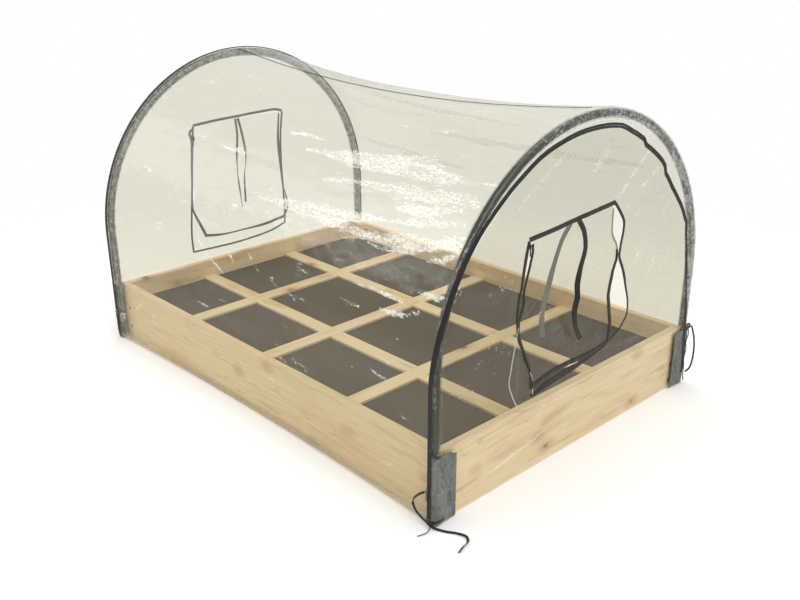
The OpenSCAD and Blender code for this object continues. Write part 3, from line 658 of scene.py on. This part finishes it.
CROSS_STREAKS = [[(-0.191, 0.376), (-0.154, 0.352), (-0.116, 0.333), (-0.079, 0.318)], [(-0.086, 0.381), (-0.056, 0.362)],
                 [(0.004, 0.386), (0.041, 0.367)], [(0.094, 0.357), (0.131, 0.343), (0.176, 0.338)]]
BACK_STREAKS = [
    [(-0.45, 0.66, 0.002), (-0.30, 0.664, 0.009), (-0.05, 0.660, 0.012), (0.20, 0.655, 0.004)],
    [(-0.20, 0.54, 0.003), (0.05, 0.545, 0.012), (0.30, 0.55, 0.012), (0.50, 0.56, 0.004)],
    [(-0.55, 0.43, 0.003), (-0.35, 0.425, 0.008), (-0.10, 0.42, 0.003)]]


def tunnel(side, name, seed):
    nx, nt = 330, 190
    x = np.linspace(-HX, HX, nx)[:, None]
    t = np.linspace(0, 1, nt)[None, :]
    X, T = x + 0 * t, t + 0 * x
    g = np.where(T < .25, T / .25 * LEG, LEG + (T - .25) / .75 * PH * math.pi / 2)
    end = smooth(0, .10, HX - np.abs(X))
    # long folds pulled between the hoops, fanning in from the ends, and fine crushing
    fan = g + .10 * fbm(X * 1.2, g * 1.5, seed) * end
    folds = fbm(X * 1.7, fan * 19, seed + 3, 3)
    crush = fbm(X * 26, g * 46, seed + 9, 3)
    gather = fbm(X * 4, g * 70, seed + 6, 2) * np.exp(-(HX - np.abs(X)) / .05)
    pull = ridge(X * 2.0 + g * 3.2, g * 2.0 - X * 1.2, seed + 12)
    ridge_ease = smooth(0, .05, 1 - T)
    low = smooth(.02, .22, T)
    off = .0030 * folds * end * low + .0011 * crush * (.25 + .75 * low) * end + .0010 * gather + .0020 * pull * end * low
    off = off * (.15 + .85 * ridge_ease)
    off = np.clip(off, -.0045, .0050)
    P = tunnel_point(X, T, side, off)
    # painted highlight streaks lie along the folds, each a line of (along, up the sheet, half width) in metres
    bandn = fbm(X * 2.2, fan * 13, seed + 30, 3)
    wob = fbm(X * 5, g * 12, seed + 31, 3)
    frayed = fbm(X * 13, g * 120, seed + 32, 3)
    glint = np.zeros_like(g)
    lines = FRONT_STREAKS if side < 0 else BACK_STREAKS
    for kline, ln in enumerate(lines):
        q = np.array(ln)
        gc = np.interp(X, q[:, 0], q[:, 1]) + wob * .007
        hw = np.interp(X, q[:, 0], q[:, 2], left=0, right=0)
        reach = smooth(q[0, 0] - .03, q[0, 0] + .02, X) * smooth(q[-1, 0] + .03, q[-1, 0] - .01, X)
        dd = np.abs(g - gc) / np.maximum(hw * (1.15 + .9 * frayed), 1e-4)
        glint = np.maximum(glint, reach * smooth(1.6, .45, dd) * (.78 + .30 * bandn + .25 * np.clip(frayed, -1, .5)))
    for ln in (CROSS_STREAKS if side < 0 else []):
        q = np.array(ln)
        u = np.clip((g - q[-1, 1]) / (q[0, 1] - q[-1, 1]), 0, 1)
        xc = np.interp(g, q[::-1, 1], q[::-1, 0]) + wob * .01
        inside = smooth(q[-1, 1] - .012, q[-1, 1] + .004, g) * smooth(q[0, 1] + .012, q[0, 1] - .004, g)
        glint = np.maximum(glint, inside * smooth(2.2, .5, np.abs(X - xc) / .0048) * (.50 + .8 * np.clip(frayed, -.3, .5)))
    # Scattered painted glints, and on the front sheet painted glints near the foot and on the far left.
    stray = smooth(.70, .82, fbm(X * 11, fan * 60, seed + 50, 3) * .5 + .5)
    glint = np.clip(glint + stray * .32 * end * smooth(.05, .12, g), 0, 1)
    if side < 0:
        skirt = smooth(.62, .80, fbm(X * 14 + g * 22, g * 30 - X * 8, seed + 55, 3) * .5 + .5) * smooth(.16, .10, g)
        left = smooth(-.30, -.52, X) * smooth(.20, .12, g) * smooth(.50, .74, fbm(X * 46 - g * 40, g * 16, seed + 57, 3) * .5 + .5)
        glint = np.clip(glint + .16 * skirt + .42 * left, 0, 1)
    ob = sheet(name, P, M_FILM, {"glint": glint}, flip=side < 0)
    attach(ob, "cover")
    # folded hem along the foot
    xs = np.linspace(-HX, HX, 260)
    foot = tunnel_point(xs, np.zeros(260), side, 0 * xs)
    up = tunnel_point(xs, np.full(260, .012 / LEG * .25), side, 0 * xs)
    mid = (foot + up) / 2
    mid[:, 1] += side * .0009
    hem = band(name + "_hem", mid, up - foot, .012, .0007, M_SLEEVE_HEM)
    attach(hem, "cover")
    return ob


M_SLEEVE_HEM = film_mat("hem_film", tint=(0.80, 0.79, 0.73), haze=0.16, fine=300.0)
front = tunnel(-1, "tunnel_film_front", 100)
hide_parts("tunnel_sheet_front")
back = tunnel(1, "tunnel_film_back", 200)
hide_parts("tunnel_sheet_back")

xs = np.linspace(-SHEET_X, SHEET_X, 260)
ridge_line = np.stack([xs, fbm(xs * 7, 0 * xs, 3) * .0012, LEG + R_OUT - SAG * dip(xs) + .0010], 1)
seam = band("ridge_seam_line", ridge_line, (0, 1, 0), .0030, .0009, M_TIE)
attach(seam, "cover"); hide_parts("ridge_seam")


# ------------------------------------------------------------------ end panels, aprons, windows
# curves of each window in the panel's plane, (across, up) in metres
NEAR_WIN = dict(
    top=[(-.192, .5165), (-.120, .5205), (-.048, .5255), (.020, .5300), (.080, .5335)],
    frame_left=[(-.192, .514), (-.200, .473), (-.207, .425), (-.214, .394), (-.214, .352), (-.206, .316), (-.181, .267), (-.163, .224), (-.157, .180)],
    frame_bottom=[(-.157, .178), (-.119, .188), (-.052, .194), (-.003, .197), (.061, .206), (.098, .216), (.137, .236)],
    frame_right=[(.137, .236), (.160, .262), (.160, .296), (.146, .338), (.131, .375), (.113, .407), (.113, .429), (.120, .463), (.119, .486), (.099, .512), (.080, .5325)],
    flap_left=[(-.184, .5150), (-.181, .488), (-.190, .454), (-.198, .418), (-.197, .389), (-.206, .362), (-.209, .345), (-.204, .318), (-.184, .274), (-.168, .236), (-.162, .200)],
    flap_bottom=[(-.162, .188), (-.116, .200), (-.052, .207), (.000, .206), (.050, .212), (.094, .219)],
    flap_right=[(.094, .219), (.101, .256), (.099, .285), (.091, .325), (.093, .352), (.103, .386), (.111, .407), (.103, .436), (.080, .470), (.074, .5305)],
    tie_out=[(-.044, .524, 0), (-.028, .497, .003), (-.024, .462, .006), (-.036, .422, .006), (-.039, .388, .004), (-.037, .361, .005), (-.046, .337, .007), (-.041, .308, .006), (-.030, .284, .005), (-.014, .262, .004)],
    tie_in=[(-.060, .519, 0), (-.080, .493, -.002), (-.091, .466, -.004), (-.103, .427, -.006), (-.113, .391, -.007), (-.121, .359, -.008), (-.121, .325, -.010), (-.115, .290, -.011)])
FAR_WIN = dict(
    top=[(-.152, .5395), (-.088, .5435), (-.014, .5455), (.060, .5475), (.122, .5475), (.150, .5405)],
    frame_left=[(-.152, .537), (-.164, .437), (-.173, .352), (-.180, .288), (-.185, .229), (-.184, .184)],
    frame_bottom=[(-.184, .183), (-.107, .180), (-.015, .179), (.083, .186), (.140, .200)],
    frame_right=[(.140, .200), (.143, .240), (.141, .300), (.139, .384), (.141, .470), (.150, .538)],
    flap_left=[(-.150, .532), (-.165, .522), (-.161, .494), (-.172, .406), (-.178, .326), (-.176, .301), (-.158, .260), (-.141, .224)],
    flap_bottom=[(-.141, .222), (-.083, .212), (-.012, .211), (.062, .211), (.139, .220)],
    flap_right=[(.139, .220), (.152, .245), (.150, .274), (.137, .321), (.133, .372), (.130, .447), (.138, .534)],
    tie_out=[(-.004, .540, 0), (.007, .502, .003), (.019, .441, .006), (.017, .406, .005), (.009, .371, .004), (.007, .291, .004)],
    tie_in=[(-.017, .541, 0), (-.016, .494, -.003), (-.023, .443, -.005), (-.025, .383, -.006), (-.021, .328, -.007), (-.018, .285, -.008)])


def plane(e, yz, x=0.0):
    yz = np.asarray(yz, float)
    return np.stack([np.full(len(yz), e * (PX + x)), yz[:, 0], yz[:, 1]], 1)


def wave_x(y, z, seed):
    """How far the panel's film stands off its plane, outwards."""
    r = .0022 * fbm(y * 7, z * 5, seed, 3) + .0010 * fbm(y * 30, z * 22, seed + 5, 3)
    return r * smooth(0, .06, z - RIM) + .0012 * smooth(0, .10, z - RIM)


def on_panel(e, yz, seed, lift=0.0):
    yz = np.asarray(yz, float)
    P = plane(e, yz)
    P[:, 0] += e * (wave_x(yz[:, 0], yz[:, 1], seed) + lift)
    return P


for e, tag, W in ((1, "near", NEAR_WIN), (-1, "far", FAR_WIN)):
    seed = 300 if e > 0 else 400
    body = tag + "_end"
    s_rim = RIM + .012 - Z0
    # ---- panel film: a ring of film between the window's frame and the zip
    nt, nr, nb, nl = 100, 120, 90, 120
    top = spline(W["top"], nt + 1)
    right = spline(W["frame_right"][::-1], nr + 1)
    bottom = spline(W["frame_bottom"][::-1], nb + 1)
    left = spline(W["frame_left"][::-1], nl + 1)
    inner2 = np.vstack([top[:-1], right[:-1], bottom[:-1], left[:-1]])
    s_a, s_b = s_theta(128), s_theta(52)
    s_top = np.linspace(s_a, s_b, nt, endpoint=False)
    s_right = np.linspace(s_b, PATH - s_rim, nr, endpoint=False)
    s_left = np.linspace(s_rim, s_a, nl, endpoint=False)
    o_top, o_right, o_left = (zip_path(e, q, .0052) for q in (s_top, s_right, s_left))
    ends = zip_path(e, np.array([PATH - s_rim, s_rim]), .0052)
    k = np.linspace(0, 1, nb, endpoint=False)
    yb = ends[0, 1] + (ends[1, 1] - ends[0, 1]) * k
    o_bot = np.stack([np.full(nb, e * PX), yb, np.full(nb, RIM)], 1)
    fade = np.minimum(smooth(0, .05, k), smooth(1, .95, k))
    o_bot[:, 2] = RIM
    outer3 = np.vstack([o_top, o_right, o_bot, o_left])
    inner3 = on_panel(e, inner2, seed)
    nrad = 52
    v = 1 - (1 - np.linspace(0, 1, nrad)) ** 1.5
    v = v[None, :, None]
    P = inner3[:, None] * (1 - v) + outer3[:, None] * v
    around = np.linspace(0, 1, len(inner3), endpoint=False)[:, None]
    bulge = np.sin(np.pi * np.clip(v[..., 0], 0, 1))
    y, z = P[..., 1], P[..., 2]
    wav = wave_x(y, z, seed) - wave_x(inner3[:, 1], inner3[:, 2], seed)[:, None] * (1 - v[..., 0])
    spokes = fbm(around * 34 + 0 * v[..., 0], v[..., 0] * 1.6, seed + 7, 3) * .0030 + ridge(around * 21 + v[..., 0] * .8, v[..., 0] * 1.2, seed + 8) * .0016
    fine = fbm(y * 60, z * 60, seed + 9, 2) * .0006
    rim_ease = smooth(0, .05, z - RIM)
    P[..., 0] += e * (wav + bulge * (spokes + fine) * rim_ease * smooth(0, .12, v[..., 0]))
    wlo_, whi_ = cbox(tag + "_window_slider")
    yc_, back_x = (wlo_[1] + whi_[1]) / 2, min(abs(wlo_[0]), abs(whi_[0]))
    tuck = smooth(.019, .0105, np.abs(y - yc_)) * smooth(.30, .275, z) * smooth(.165, .190, z)
    lim = back_x - .0018
    P[..., 0] = np.where(tuck > 0, e * (np.abs(P[..., 0]) * (1 - tuck) + np.minimum(np.abs(P[..., 0]), lim) * tuck), P[..., 0])
    P = off_hoop(P, e, SR + .0016)
    # Painted highlights on the panel film: scattered glint zones, crease glints on the near end, and a glint line along
    # the zip edge.
    zone = smooth(.50, .72, fbm(around * 24 + 0 * v[..., 0], v[..., 0] * 3.0, seed + 20, 3) * .5 + .5)
    gl = .15 * zone * smooth(.02, .15, v[..., 0])
    if e > 0:
        # painted highlights along the pulled crease from the window's upper corner towards the shoulder, and along the
        # one beside the leg; only the glint is drawn here
        for (y0, z0, y1, z1, w, q) in ((.085, .535, .215, .640, .013, 1.0), (.10, .50, .27, .60, .016, .5), (.15, .36, .30, .50, .012, .6),
                                       (-.24, .58, -.10, .66, .016, .55), (-.02, .60, .07, .665, .018, .6), (.19, .235, .26, .40, .010, .65)):
            d = np.array([y1 - y0, z1 - z0])
            ln = np.linalg.norm(d)
            d = d / ln
            u = (y - y0) * d[0] + (z - z0) * d[1]
            q2 = np.abs((y - y0) * d[1] - (z - z0) * d[0])
            gl = gl + .75 * q * np.exp(-(q2 / (w * (.45 + .35 * fbm(u * 30, q2 * 0 + 3, seed + 77, 2)))) ** 2) * smooth(-.01, .02, u) * smooth(ln + .02, ln - .04, u)
    gl = np.clip(gl + .12 * np.exp(-((1 - v[..., 0]) / .05)), 0, 1)
    film = M_PANEL if e > 0 else M_FAR_PANEL
    panel = sheet(tag + "_panel_film", P, film, {"glint": gl}, cu=True, flip=e > 0)
    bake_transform(panel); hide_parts(tag + "_end_panel")

    # ---- film below the rim, on the cover
    nz, ny = 70, 220
    zz = np.linspace(.006, RIM, nz)
    sl, sr_ = zz - Z0, PATH - (zz - Z0)
    L = zip_path(e, np.maximum(sl, 0), .0052)
    Rr = zip_path(e, np.minimum(sr_, PATH), .0052)
    k = np.linspace(0, 1, ny)[None, :, None]
    P = L[:, None] * (1 - k) + Rr[:, None] * k
    P[..., 2] = zz[:, None]
    y = P[..., 1]
    flat = np.abs(y) < PH - .014
    drape = (.0009 * fbm(y * 11 + P[..., 2] * 6, P[..., 2] * 14, seed + 40, 3) - .0006) * smooth(RIM, RIM - .03, P[..., 2])
    P[..., 0] = np.where(flat, e * (PX - .0006 + drape), P[..., 0])
    P = off_hoop(P, e, SR + .0016)
    # Painted highlights on the apron film: scattered glints, and on the near end one glint line low down.
    gl = np.clip(1.5 * (smooth(.62, .80, fbm(y * 14, P[..., 2] * 30, seed + 44, 3) * .5 + .5)), 0, 1) * .35
    if e > 0:
        gl = np.clip(gl * .5 + .75 * np.exp(-((P[..., 2] - .060 - .14 * (y + .20) + .006 * fbm(y * 40, 0 * y, 9)) / .0045) ** 2) * smooth(-.30, -.26, y) * smooth(-.08, -.13, y), 0, 1)
    apron = sheet(tag + "_apron_film", P, M_APRON, {"glint": gl}, flip=e < 0)
    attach(apron, "cover"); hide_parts(tag + "_apron")

    # ---- tapes round the window
    tp = spline(W["top"], 150)
    bind = band(tag + "_window_top_tape", on_panel(e, tp, seed, .0012), (0, 0, 1), .0100 if e > 0 else .0072, .0013, M_TAPE if e > 0 else M_FAR)
    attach(bind, body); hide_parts(tag + "_window_top_binding")
    loop2 = np.vstack([spline(W["frame_left"], 260)[:-1], spline(W["frame_bottom"], 240)[:-1], spline(W["frame_right"], 260)])
    loop2 = resample(loop2, 760)
    loop3 = on_panel(e, loop2, seed, .0012)
    tang = np.gradient(loop2, axis=0)
    ref = np.stack([0 * tang[:, 0], -tang[:, 1], tang[:, 0]], 1)
    sl_ = np.linspace(0, 1, len(loop2))
    if e > 0:
        wide = 1 + 1.5 * smooth(.352, .39, sl_) * smooth(.56, .46, sl_) - .35 * smooth(.56, .60, sl_) * smooth(.80, .74, sl_) + .25 * np.sin(sl_ * 41) * smooth(.30, .2, sl_)
    else:
        wide = 1 + 0 * sl_
    if e > 0:
        # the left tape stops short of the sill; below it only the clear hem goes on
        cut = int(.285 * len(loop3))
        low = int(.350 * len(loop3))
        fr = join(tag + "_window_frame_zip", [band("tmp_c", loop3[:cut], ref[:cut], .0066, .0011, M_TAPE, -1, wide[:cut]),
                                             band("tmp_d", loop3[low:], ref[low:], .0066, .0011, M_TAPE, -1, wide[low:])])
        hp = spline([(-.213, .345), (-.222, .300), (-.229, .262), (-.233, .232), (-.222, .201), (-.206, .173)], 90)
        hq = spline([(-.170, .236), (-.160, .215), (-.158, .198), (-.157, .182)], 50)
        hem = join(tag + "_window_clear_hem", [band("tmp_e", on_panel(e, hp, seed, .0024), (0, 1, 0), .0032, .0008, M_CLEAR_EDGE),
                                              band("tmp_f", on_panel(e, hq, seed, .0024), (0, 1, 0), .0030, .0008, M_CLEAR_EDGE)])
        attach(hem, body)
    else:
        fr = band(tag + "_window_frame_zip", loop3, ref, .0056, .0011, M_FAR, -1, wide)
    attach(fr, body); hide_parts(tag + "_window_frame_tape")

    # ---- the flap: hangs from the top tape, loose on its other three sides
    nu, nv = 90, 110
    tapes_at = dict(W)
    if e < 0:
        # here the film goes on past its tape, to the frame
        W = dict(W, flap_left=[(-.150, .538), (-.163, .437), (-.172, .352), (-.179, .288), (-.183, .229), (-.181, .188)],
                 flap_bottom=[(-.181, .187), (-.107, .183), (-.015, .182), (.083, .189), (.137, .202)],
                 flap_right=[(.137, .202), (.141, .240), (.139, .300), (.137, .384), (.139, .470), (.148, .5395)])
    fl = spline(W["flap_left"], nv)
    fr_ = spline(W["flap_right"][::-1], nv)
    ft = spline([W["flap_left"][0], ((W["flap_left"][0][0] + W["flap_right"][-1][0]) / 2, (W["flap_left"][0][1] + W["flap_right"][-1][1]) / 2 + .002), W["flap_right"][-1]], nu)
    fb = spline(W["flap_bottom"], nu)
    u = np.linspace(0, 1, nu)[:, None, None]
    q = np.linspace(0, 1, nv)[None, :, None]
    C = (1 - q) * ft[:, None] + q * fb[:, None] + (1 - u) * fl[None] + u * fr_[None] \
        - ((1 - u) * (1 - q) * ft[0] + u * (1 - q) * ft[-1] + (1 - u) * q * fb[0] + u * q * fb[-1])
    U, Q = u[..., 0] + 0 * q[..., 0], q[..., 0] + 0 * u[..., 0]
    curl = -.0045 * smooth(0, .5, Q) + .006 * smooth(.75, 1, Q) + .0035 * fbm(U * 3.4, Q * 1.6, seed + 60, 3) * smooth(0, .3, Q)
    X = PX + .0012 + curl + .0008 * fbm(U * 20, Q * 22, seed + 61, 2)
    P = np.stack([e * X, C[..., 0], C[..., 1]], -1)
    # Painted highlights on the flap: scattered glints and a glint line under the top tape.
    gl = np.clip(.22 * smooth(.60, .80, fbm(U * 7, Q * 12, seed + 62, 3) * .5 + .5) + .15 * np.exp(-Q / .04), 0, 1)
    flap = sheet(tag + "_flap_film", P, film, {"glint": gl}, flip=e < 0)
    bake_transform(flap)
    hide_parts(tag + "_window_flap")

    if e > 0:
        edge = np.concatenate([P[0, 3:], P[1:-1, -1], P[-1, 3:][::-1]])
    else:
        W = tapes_at
        eyz = np.vstack([spline(W["flap_left"], 240)[:-1], spline(W["flap_bottom"], 240)[:-1], spline(W["flap_right"], 240)])
        gu = (P[..., 1] - P[0, 0, 1]) / (P[-1, 0, 1] - P[0, 0, 1])
        xx = []
        for yy, zz_ in eyz:
            dd = (P[..., 1] - yy) ** 2 + (P[..., 2] - zz_) ** 2
            kk = np.argsort(dd.ravel())[:6]
            ww = 1 / (dd.ravel()[kk] + 1e-7)
            xx.append((P[..., 0].ravel()[kk] * ww).sum() / ww.sum())
        edge = np.stack([np.array(xx), eyz[:, 0], eyz[:, 1]], 1)
    edge = resample(edge, 700)
    edge[:, 0] += e * .0011
    tang = np.gradient(edge, axis=0)
    ref = np.stack([0 * tang[:, 0], -tang[:, 2], tang[:, 1]], 1)
    sl_ = np.linspace(0, 1, len(edge))
    wide = (.95 + .75 * smooth(.30, .37, sl_) * smooth(.62, .52, sl_) + .55 * smooth(.62, .66, sl_) * smooth(.90, .80, sl_)) if e > 0 else 1 + .35 * np.sin(sl_ * 23)
    if e > 0:
        cut = int(.885 * len(edge))
        pale = band(tag + "_flap_clear_strip", edge[cut - 1:], ref[cut - 1:], .0046, .0010, M_GREY)
        edge, ref, wide = edge[:cut], ref[:cut], wide[:cut]
    ftape = band(tag + "_flap_zip", edge, ref, .0066 if e > 0 else .0060, .0011, M_TAPE if e > 0 else M_FAR, 1, wide)
    if e > 0:
        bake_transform(pale)
    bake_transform(ftape)
    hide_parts(tag + "_window_flap_tape")

    # ---- tie straps from the top tape
    def strap(name, pts, wmid, mat):
        p = spline(pts, 130)
        P = plane(e, p[:, :2])
        t = np.linspace(0, 1, len(p))
        P[:, 0] += e * (p[:, 2] + .0028 * np.sign(pts[-1][2]) + .0012 * (pts[-1][2] > 0))
        twist = .20 + (1.0 if e > 0 else .6) * np.exp(-((t - .58) / .15) ** 2) + (.7 * smooth(.7, 1, t) if mat is M_GREY else 0)
        ref = np.stack([np.sin(twist) * e, np.cos(twist), 0 * t], 1)
        return band(name, P, ref, wmid, .0010, mat)

    ot = strap(tag + "_outer_tie_strap", W["tie_out"], .0112 if e > 0 else .0080, M_TIE if e > 0 else M_FAR)
    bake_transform(ot)
    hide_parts(tag + "_window_outer_tie")
    it = strap(tag + "_inner_tie_strap", W["tie_in"], .0105 if e > 0 else .0085, M_GREY)
    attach(it, body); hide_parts(tag + "_window_inner_tie")


# ------------------------------------------------------------------ corner pockets and their ties
def pocket_line(o):
    pw = SR + .0014
    a = np.radians(np.arange(200, 357, 6))
    arc = np.stack([HX + (pw + o) * np.cos(a), -PH + (pw + o) * np.sin(a)], 1)
    tail = np.array([[HX + pw + o, -PH + .004], [HL + .0072 + o, -HW + .003], [HL + .0072 + o, -HW + .036]])
    return np.vstack([arc, tail])


parts = []
for ci, (e, s) in enumerate([(1, -1), (1, 1), (-1, -1), (-1, 1)]):
    line = resample(pocket_line(.0006), 64)
    nz = 60
    zz = np.linspace(0, 1, nz)
    P = np.zeros((64, nz, 3))
    k = np.linspace(0, 1, 64)
    tang = np.gradient(line, axis=0)
    nor = np.stack([tang[:, 1], -tang[:, 0]], 1)
    nor /= np.linalg.norm(nor, axis=1, keepdims=True)
    top = .149 - .004 * fbm(k * 4, 0 * k, 70 + ci) - .004 * smooth(.6, 1, k)
    for j in range(nz):
        z = .003 + (top - .003) * zz[j]
        fold = .0016 * fbm(k * 9 + zz[j] * 2.2, np.full(64, zz[j] * 7.0), 80 + ci, 3) + .0012 * ridge(k * 6 - zz[j] * 3.5, np.full(64, zz[j] * 3.0), 90 + ci)
        fold = np.clip(fold, -.0003, .0022) * smooth(0, .10, 1 - k * .96)
        P[:, j, 0] = line[:, 0] + nor[:, 0] * fold
        P[:, j, 1] = line[:, 1] + nor[:, 1] * fold
        P[:, j, 2] = z
    P[..., 0] *= e
    P[..., 1] *= -s
    o = sheet("tmp_pocket_%d" % ci, P, M_CLOTH, flip=e * s > 0)
    parts.append(o)
pockets = join("corner_pocket_cloth", parts)
m = pockets.modifiers.new("thickness", "SOLIDIFY")
m.thickness = .0010
m.offset = 0
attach(pockets, "cover"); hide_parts("corner_pockets")

parts = []


def cord(name, pts, w, ref=(0, 0, 1), th=.0011, n=110):
    p = spline(pts, n)
    return band(name, p, ref, w, th, M_TIE)


# the front near tie: a loop beside the foot, a knot, and two loose ends on the ground
parts.append(cord("t0", [(.588, -.4435, .074), (.578, -.4475, .067), (.565, -.4490, .052), (.562, -.4490, .040), (.570, -.4485, .026), (.585, -.4475, .017), (.600, -.4460, .011), (.607, -.4440, .009)], .0048, (0, .25, 1)))
parts.append(cord("t1", [(.604, -.4450, .012), (.608, -.4440, .006), (.618, -.4375, .0022), (.632, -.4310, .0016), (.646, -.4220, .0016), (.660, -.4170, .0028), (.672, -.4160, .0034), (.682, -.4240, .0018), (.686, -.4400, .0024), (.692, -.4590, .0016)], .0050, (.25, .8, .35)))
parts.append(cord("t2", [(.605, -.4465, .010), (.6085, -.4500, .005), (.6100, -.4580, .0018), (.6085, -.4680, .0016), (.6055, -.4795, .0016)], .0018, (1, 0, 0)))
parts.append(cord("t3", [(.600, -.4470, .014), (.606, -.4480, .016), (.611, -.4445, .012), (.608, -.4405, .008), (.602, -.4440, .007), (.600, -.4470, .012)], .0040, (0, .2, 1), .0016, 60))
# the other three: a wrapped loop, a small bow and hanging ends
for e, s, z0 in ((1, 1, .146), (-1, -1, .020), (-1, 1, .020)):
    q = lambda pts: [(e * x, s * y, z) for x, y, z in pts]
    if z0 > .1:
        parts.append(cord("b0", q([(.6045, .4425, .146), (.612, .4440, .150), (.617, .4455, .138), (.622, .4470, .118), (.6245, .4480, .090), (.6235, .4480, .060), (.619, .4465, .038), (.610, .4440, .026)]), .0040, (1, .3, 0)))
        parts.append(cord("b1", q([(.6065, .4395, .147), (.6125, .4340, .132), (.6115, .4290, .112), (.6130, .4300, .092), (.6120, .4275, .070), (.6125, .4300, .048), (.6135, .4290, .024), (.6140, .4330, .008)]), .0034, (0, 1, 0)))
        parts.append(cord("b2", q([(.600, .4425, .148), (.606, .4440, .1535), (.6115, .4400, .151), (.6115, .4345, .148)]), .0046, (0, 0, 1), .0016, 50))
    elif s > 0:
        parts.append(cord("b3", q([(.6075, .4405, .018), (.616, .4420, .026), (.6215, .4440, .018), (.617, .4435, .009), (.608, .4420, .012)]), .0042, (0, 1, .2), .0011, 60))
        parts.append(cord("b4", q([(.607, .4415, .012), (.612, .4440, .006), (.617, .4470, .0022), (.6215, .4530, .0016)]), .0036, (0, 0, 1), .0011, 50))
    wrap = pocket_line(.0022)
    wrap = resample(wrap[:-1], 70)
    zc = .011 if z0 < .1 else .146
    parts.append(band("w%d%d" % (e, s), np.stack([e * wrap[:, 0], -s * wrap[:, 1] * -1 * -1 if False else s * -wrap[:, 1], np.full(70, zc)], 1), (0, 0, 1), .0055, .0011, M_TIE))
wrap = resample(pocket_line(.0022)[:-1], 70)
parts.append(band("w_front", np.stack([wrap[:, 0], wrap[:, 1], np.full(70, .011)], 1), (0, 0, 1), .0055, .0011, M_TIE))
ties = join("corner_tie_straps", parts)
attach(ties, "cover"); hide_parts("corner_ties")

# ------------------------------------------------------------------ floor, light, camera
fm = Mat("floor_white")
fb_ = fm.n("ShaderNodeBsdfDiffuse", {"Color": (.93, .93, .93, 1)})
far_r = fm.n("ShaderNodeVectorMath", {0: fm.co}, operation="LENGTH").outputs["Value"]
clear_ = fm.n("ShaderNodeBsdfTransparent", {"Color": (1, 1, 1, 1)})
fm_mix = fm.n("ShaderNodeMixShader", {0: fm.span(far_r, .85, 1.9), 1: fb_.outputs[0], 2: clear_.outputs[0]})
floor_mat = fm.done(fm_mix.outputs[0])
floor = add_object("floor", np.array([(-14, -14, -.0006), (14, -14, -.0006), (14, 14, -.0006), (-14, 14, -.0006)]), [(0, 1, 2, 3)], floor_mat, False)

sc = bpy.context.scene
sc.view_settings.view_transform = "Standard"
sc.view_settings.look = "None"
sc.cycles.transparent_max_bounces = 40
sc.cycles.max_bounces = 10
world = bpy.data.worlds.new("studio")
sc.world = world
world.use_nodes = True
wt = world.node_tree
wt.nodes.clear()
wo = wt.nodes.new("ShaderNodeOutputWorld")
seen = wt.nodes.new("ShaderNodeBackground")
seen.inputs[0].default_value = (1, 1, 1, 1)
seen.inputs[1].default_value = 1.0
lit = wt.nodes.new("ShaderNodeBackground")
lit.inputs[0].default_value = (1.0, .995, .98, 1)
lit.inputs[1].default_value = .86
lp = wt.nodes.new("ShaderNodeLightPath")
mx = wt.nodes.new("ShaderNodeMixShader")
wt.links.new(lp.outputs["Is Camera Ray"], mx.inputs[0])
wt.links.new(lit.outputs[0], mx.inputs[1])
wt.links.new(seen.outputs[0], mx.inputs[2])
wt.links.new(mx.outputs[0], wo.inputs[0])


def area(name, loc, target, size, size_y, power, color=(1, 1, 1)):
    d = bpy.data.lights.new(name, "AREA")
    d.shape = "RECTANGLE"
    d.size, d.size_y, d.energy, d.color = size, size_y, power, color
    o = bpy.data.objects.new(name, d)
    o.location = loc
    o.rotation_mode = "QUATERNION"
    o.rotation_quaternion = (Vector(target) - Vector(loc)).to_track_quat("-Z", "Y")
    bpy.context.scene.collection.objects.link(o)
    return o


area("key", (3.2, -1.2, 3.6), (0, 0, .2), 2.6, 2.6, 64, (1, .985, .96))
area("fill", (-3.4, -2.6, 2.6), (0, 0, .3), 2.0, 2.0, 24)
area("strip_low", (-1.6, -2.9, 1.35), (0, 0, .45), 2.4, .30, 12)
area("top", (0, .6, 4.2), (0, 0, 0), 3.0, 1.2, 34)

cam = bpy.data.cameras.new("camera")
cam.sensor_width = 36.0
cam.lens = 944.35 * 36 / 800
co = bpy.data.objects.new("camera", cam)
bpy.context.scene.collection.objects.link(co)
xc = Vector((.68906, .72471, -.00132)).normalized()
zc = Vector((-.67056, .63688, -.38043)).normalized()
yc = zc.cross(xc).normalized()
xc = yc.cross(zc).normalized()
Rm = Matrix((xc, -yc, -zc)).transposed()
co.matrix_world = Matrix.Translation((1.6436, -1.5093, 1.0798)) @ Rm.to_4x4()
cam.clip_start, cam.clip_end = .05, 60
sc.camera = co

bpy.context.view_layer.update()
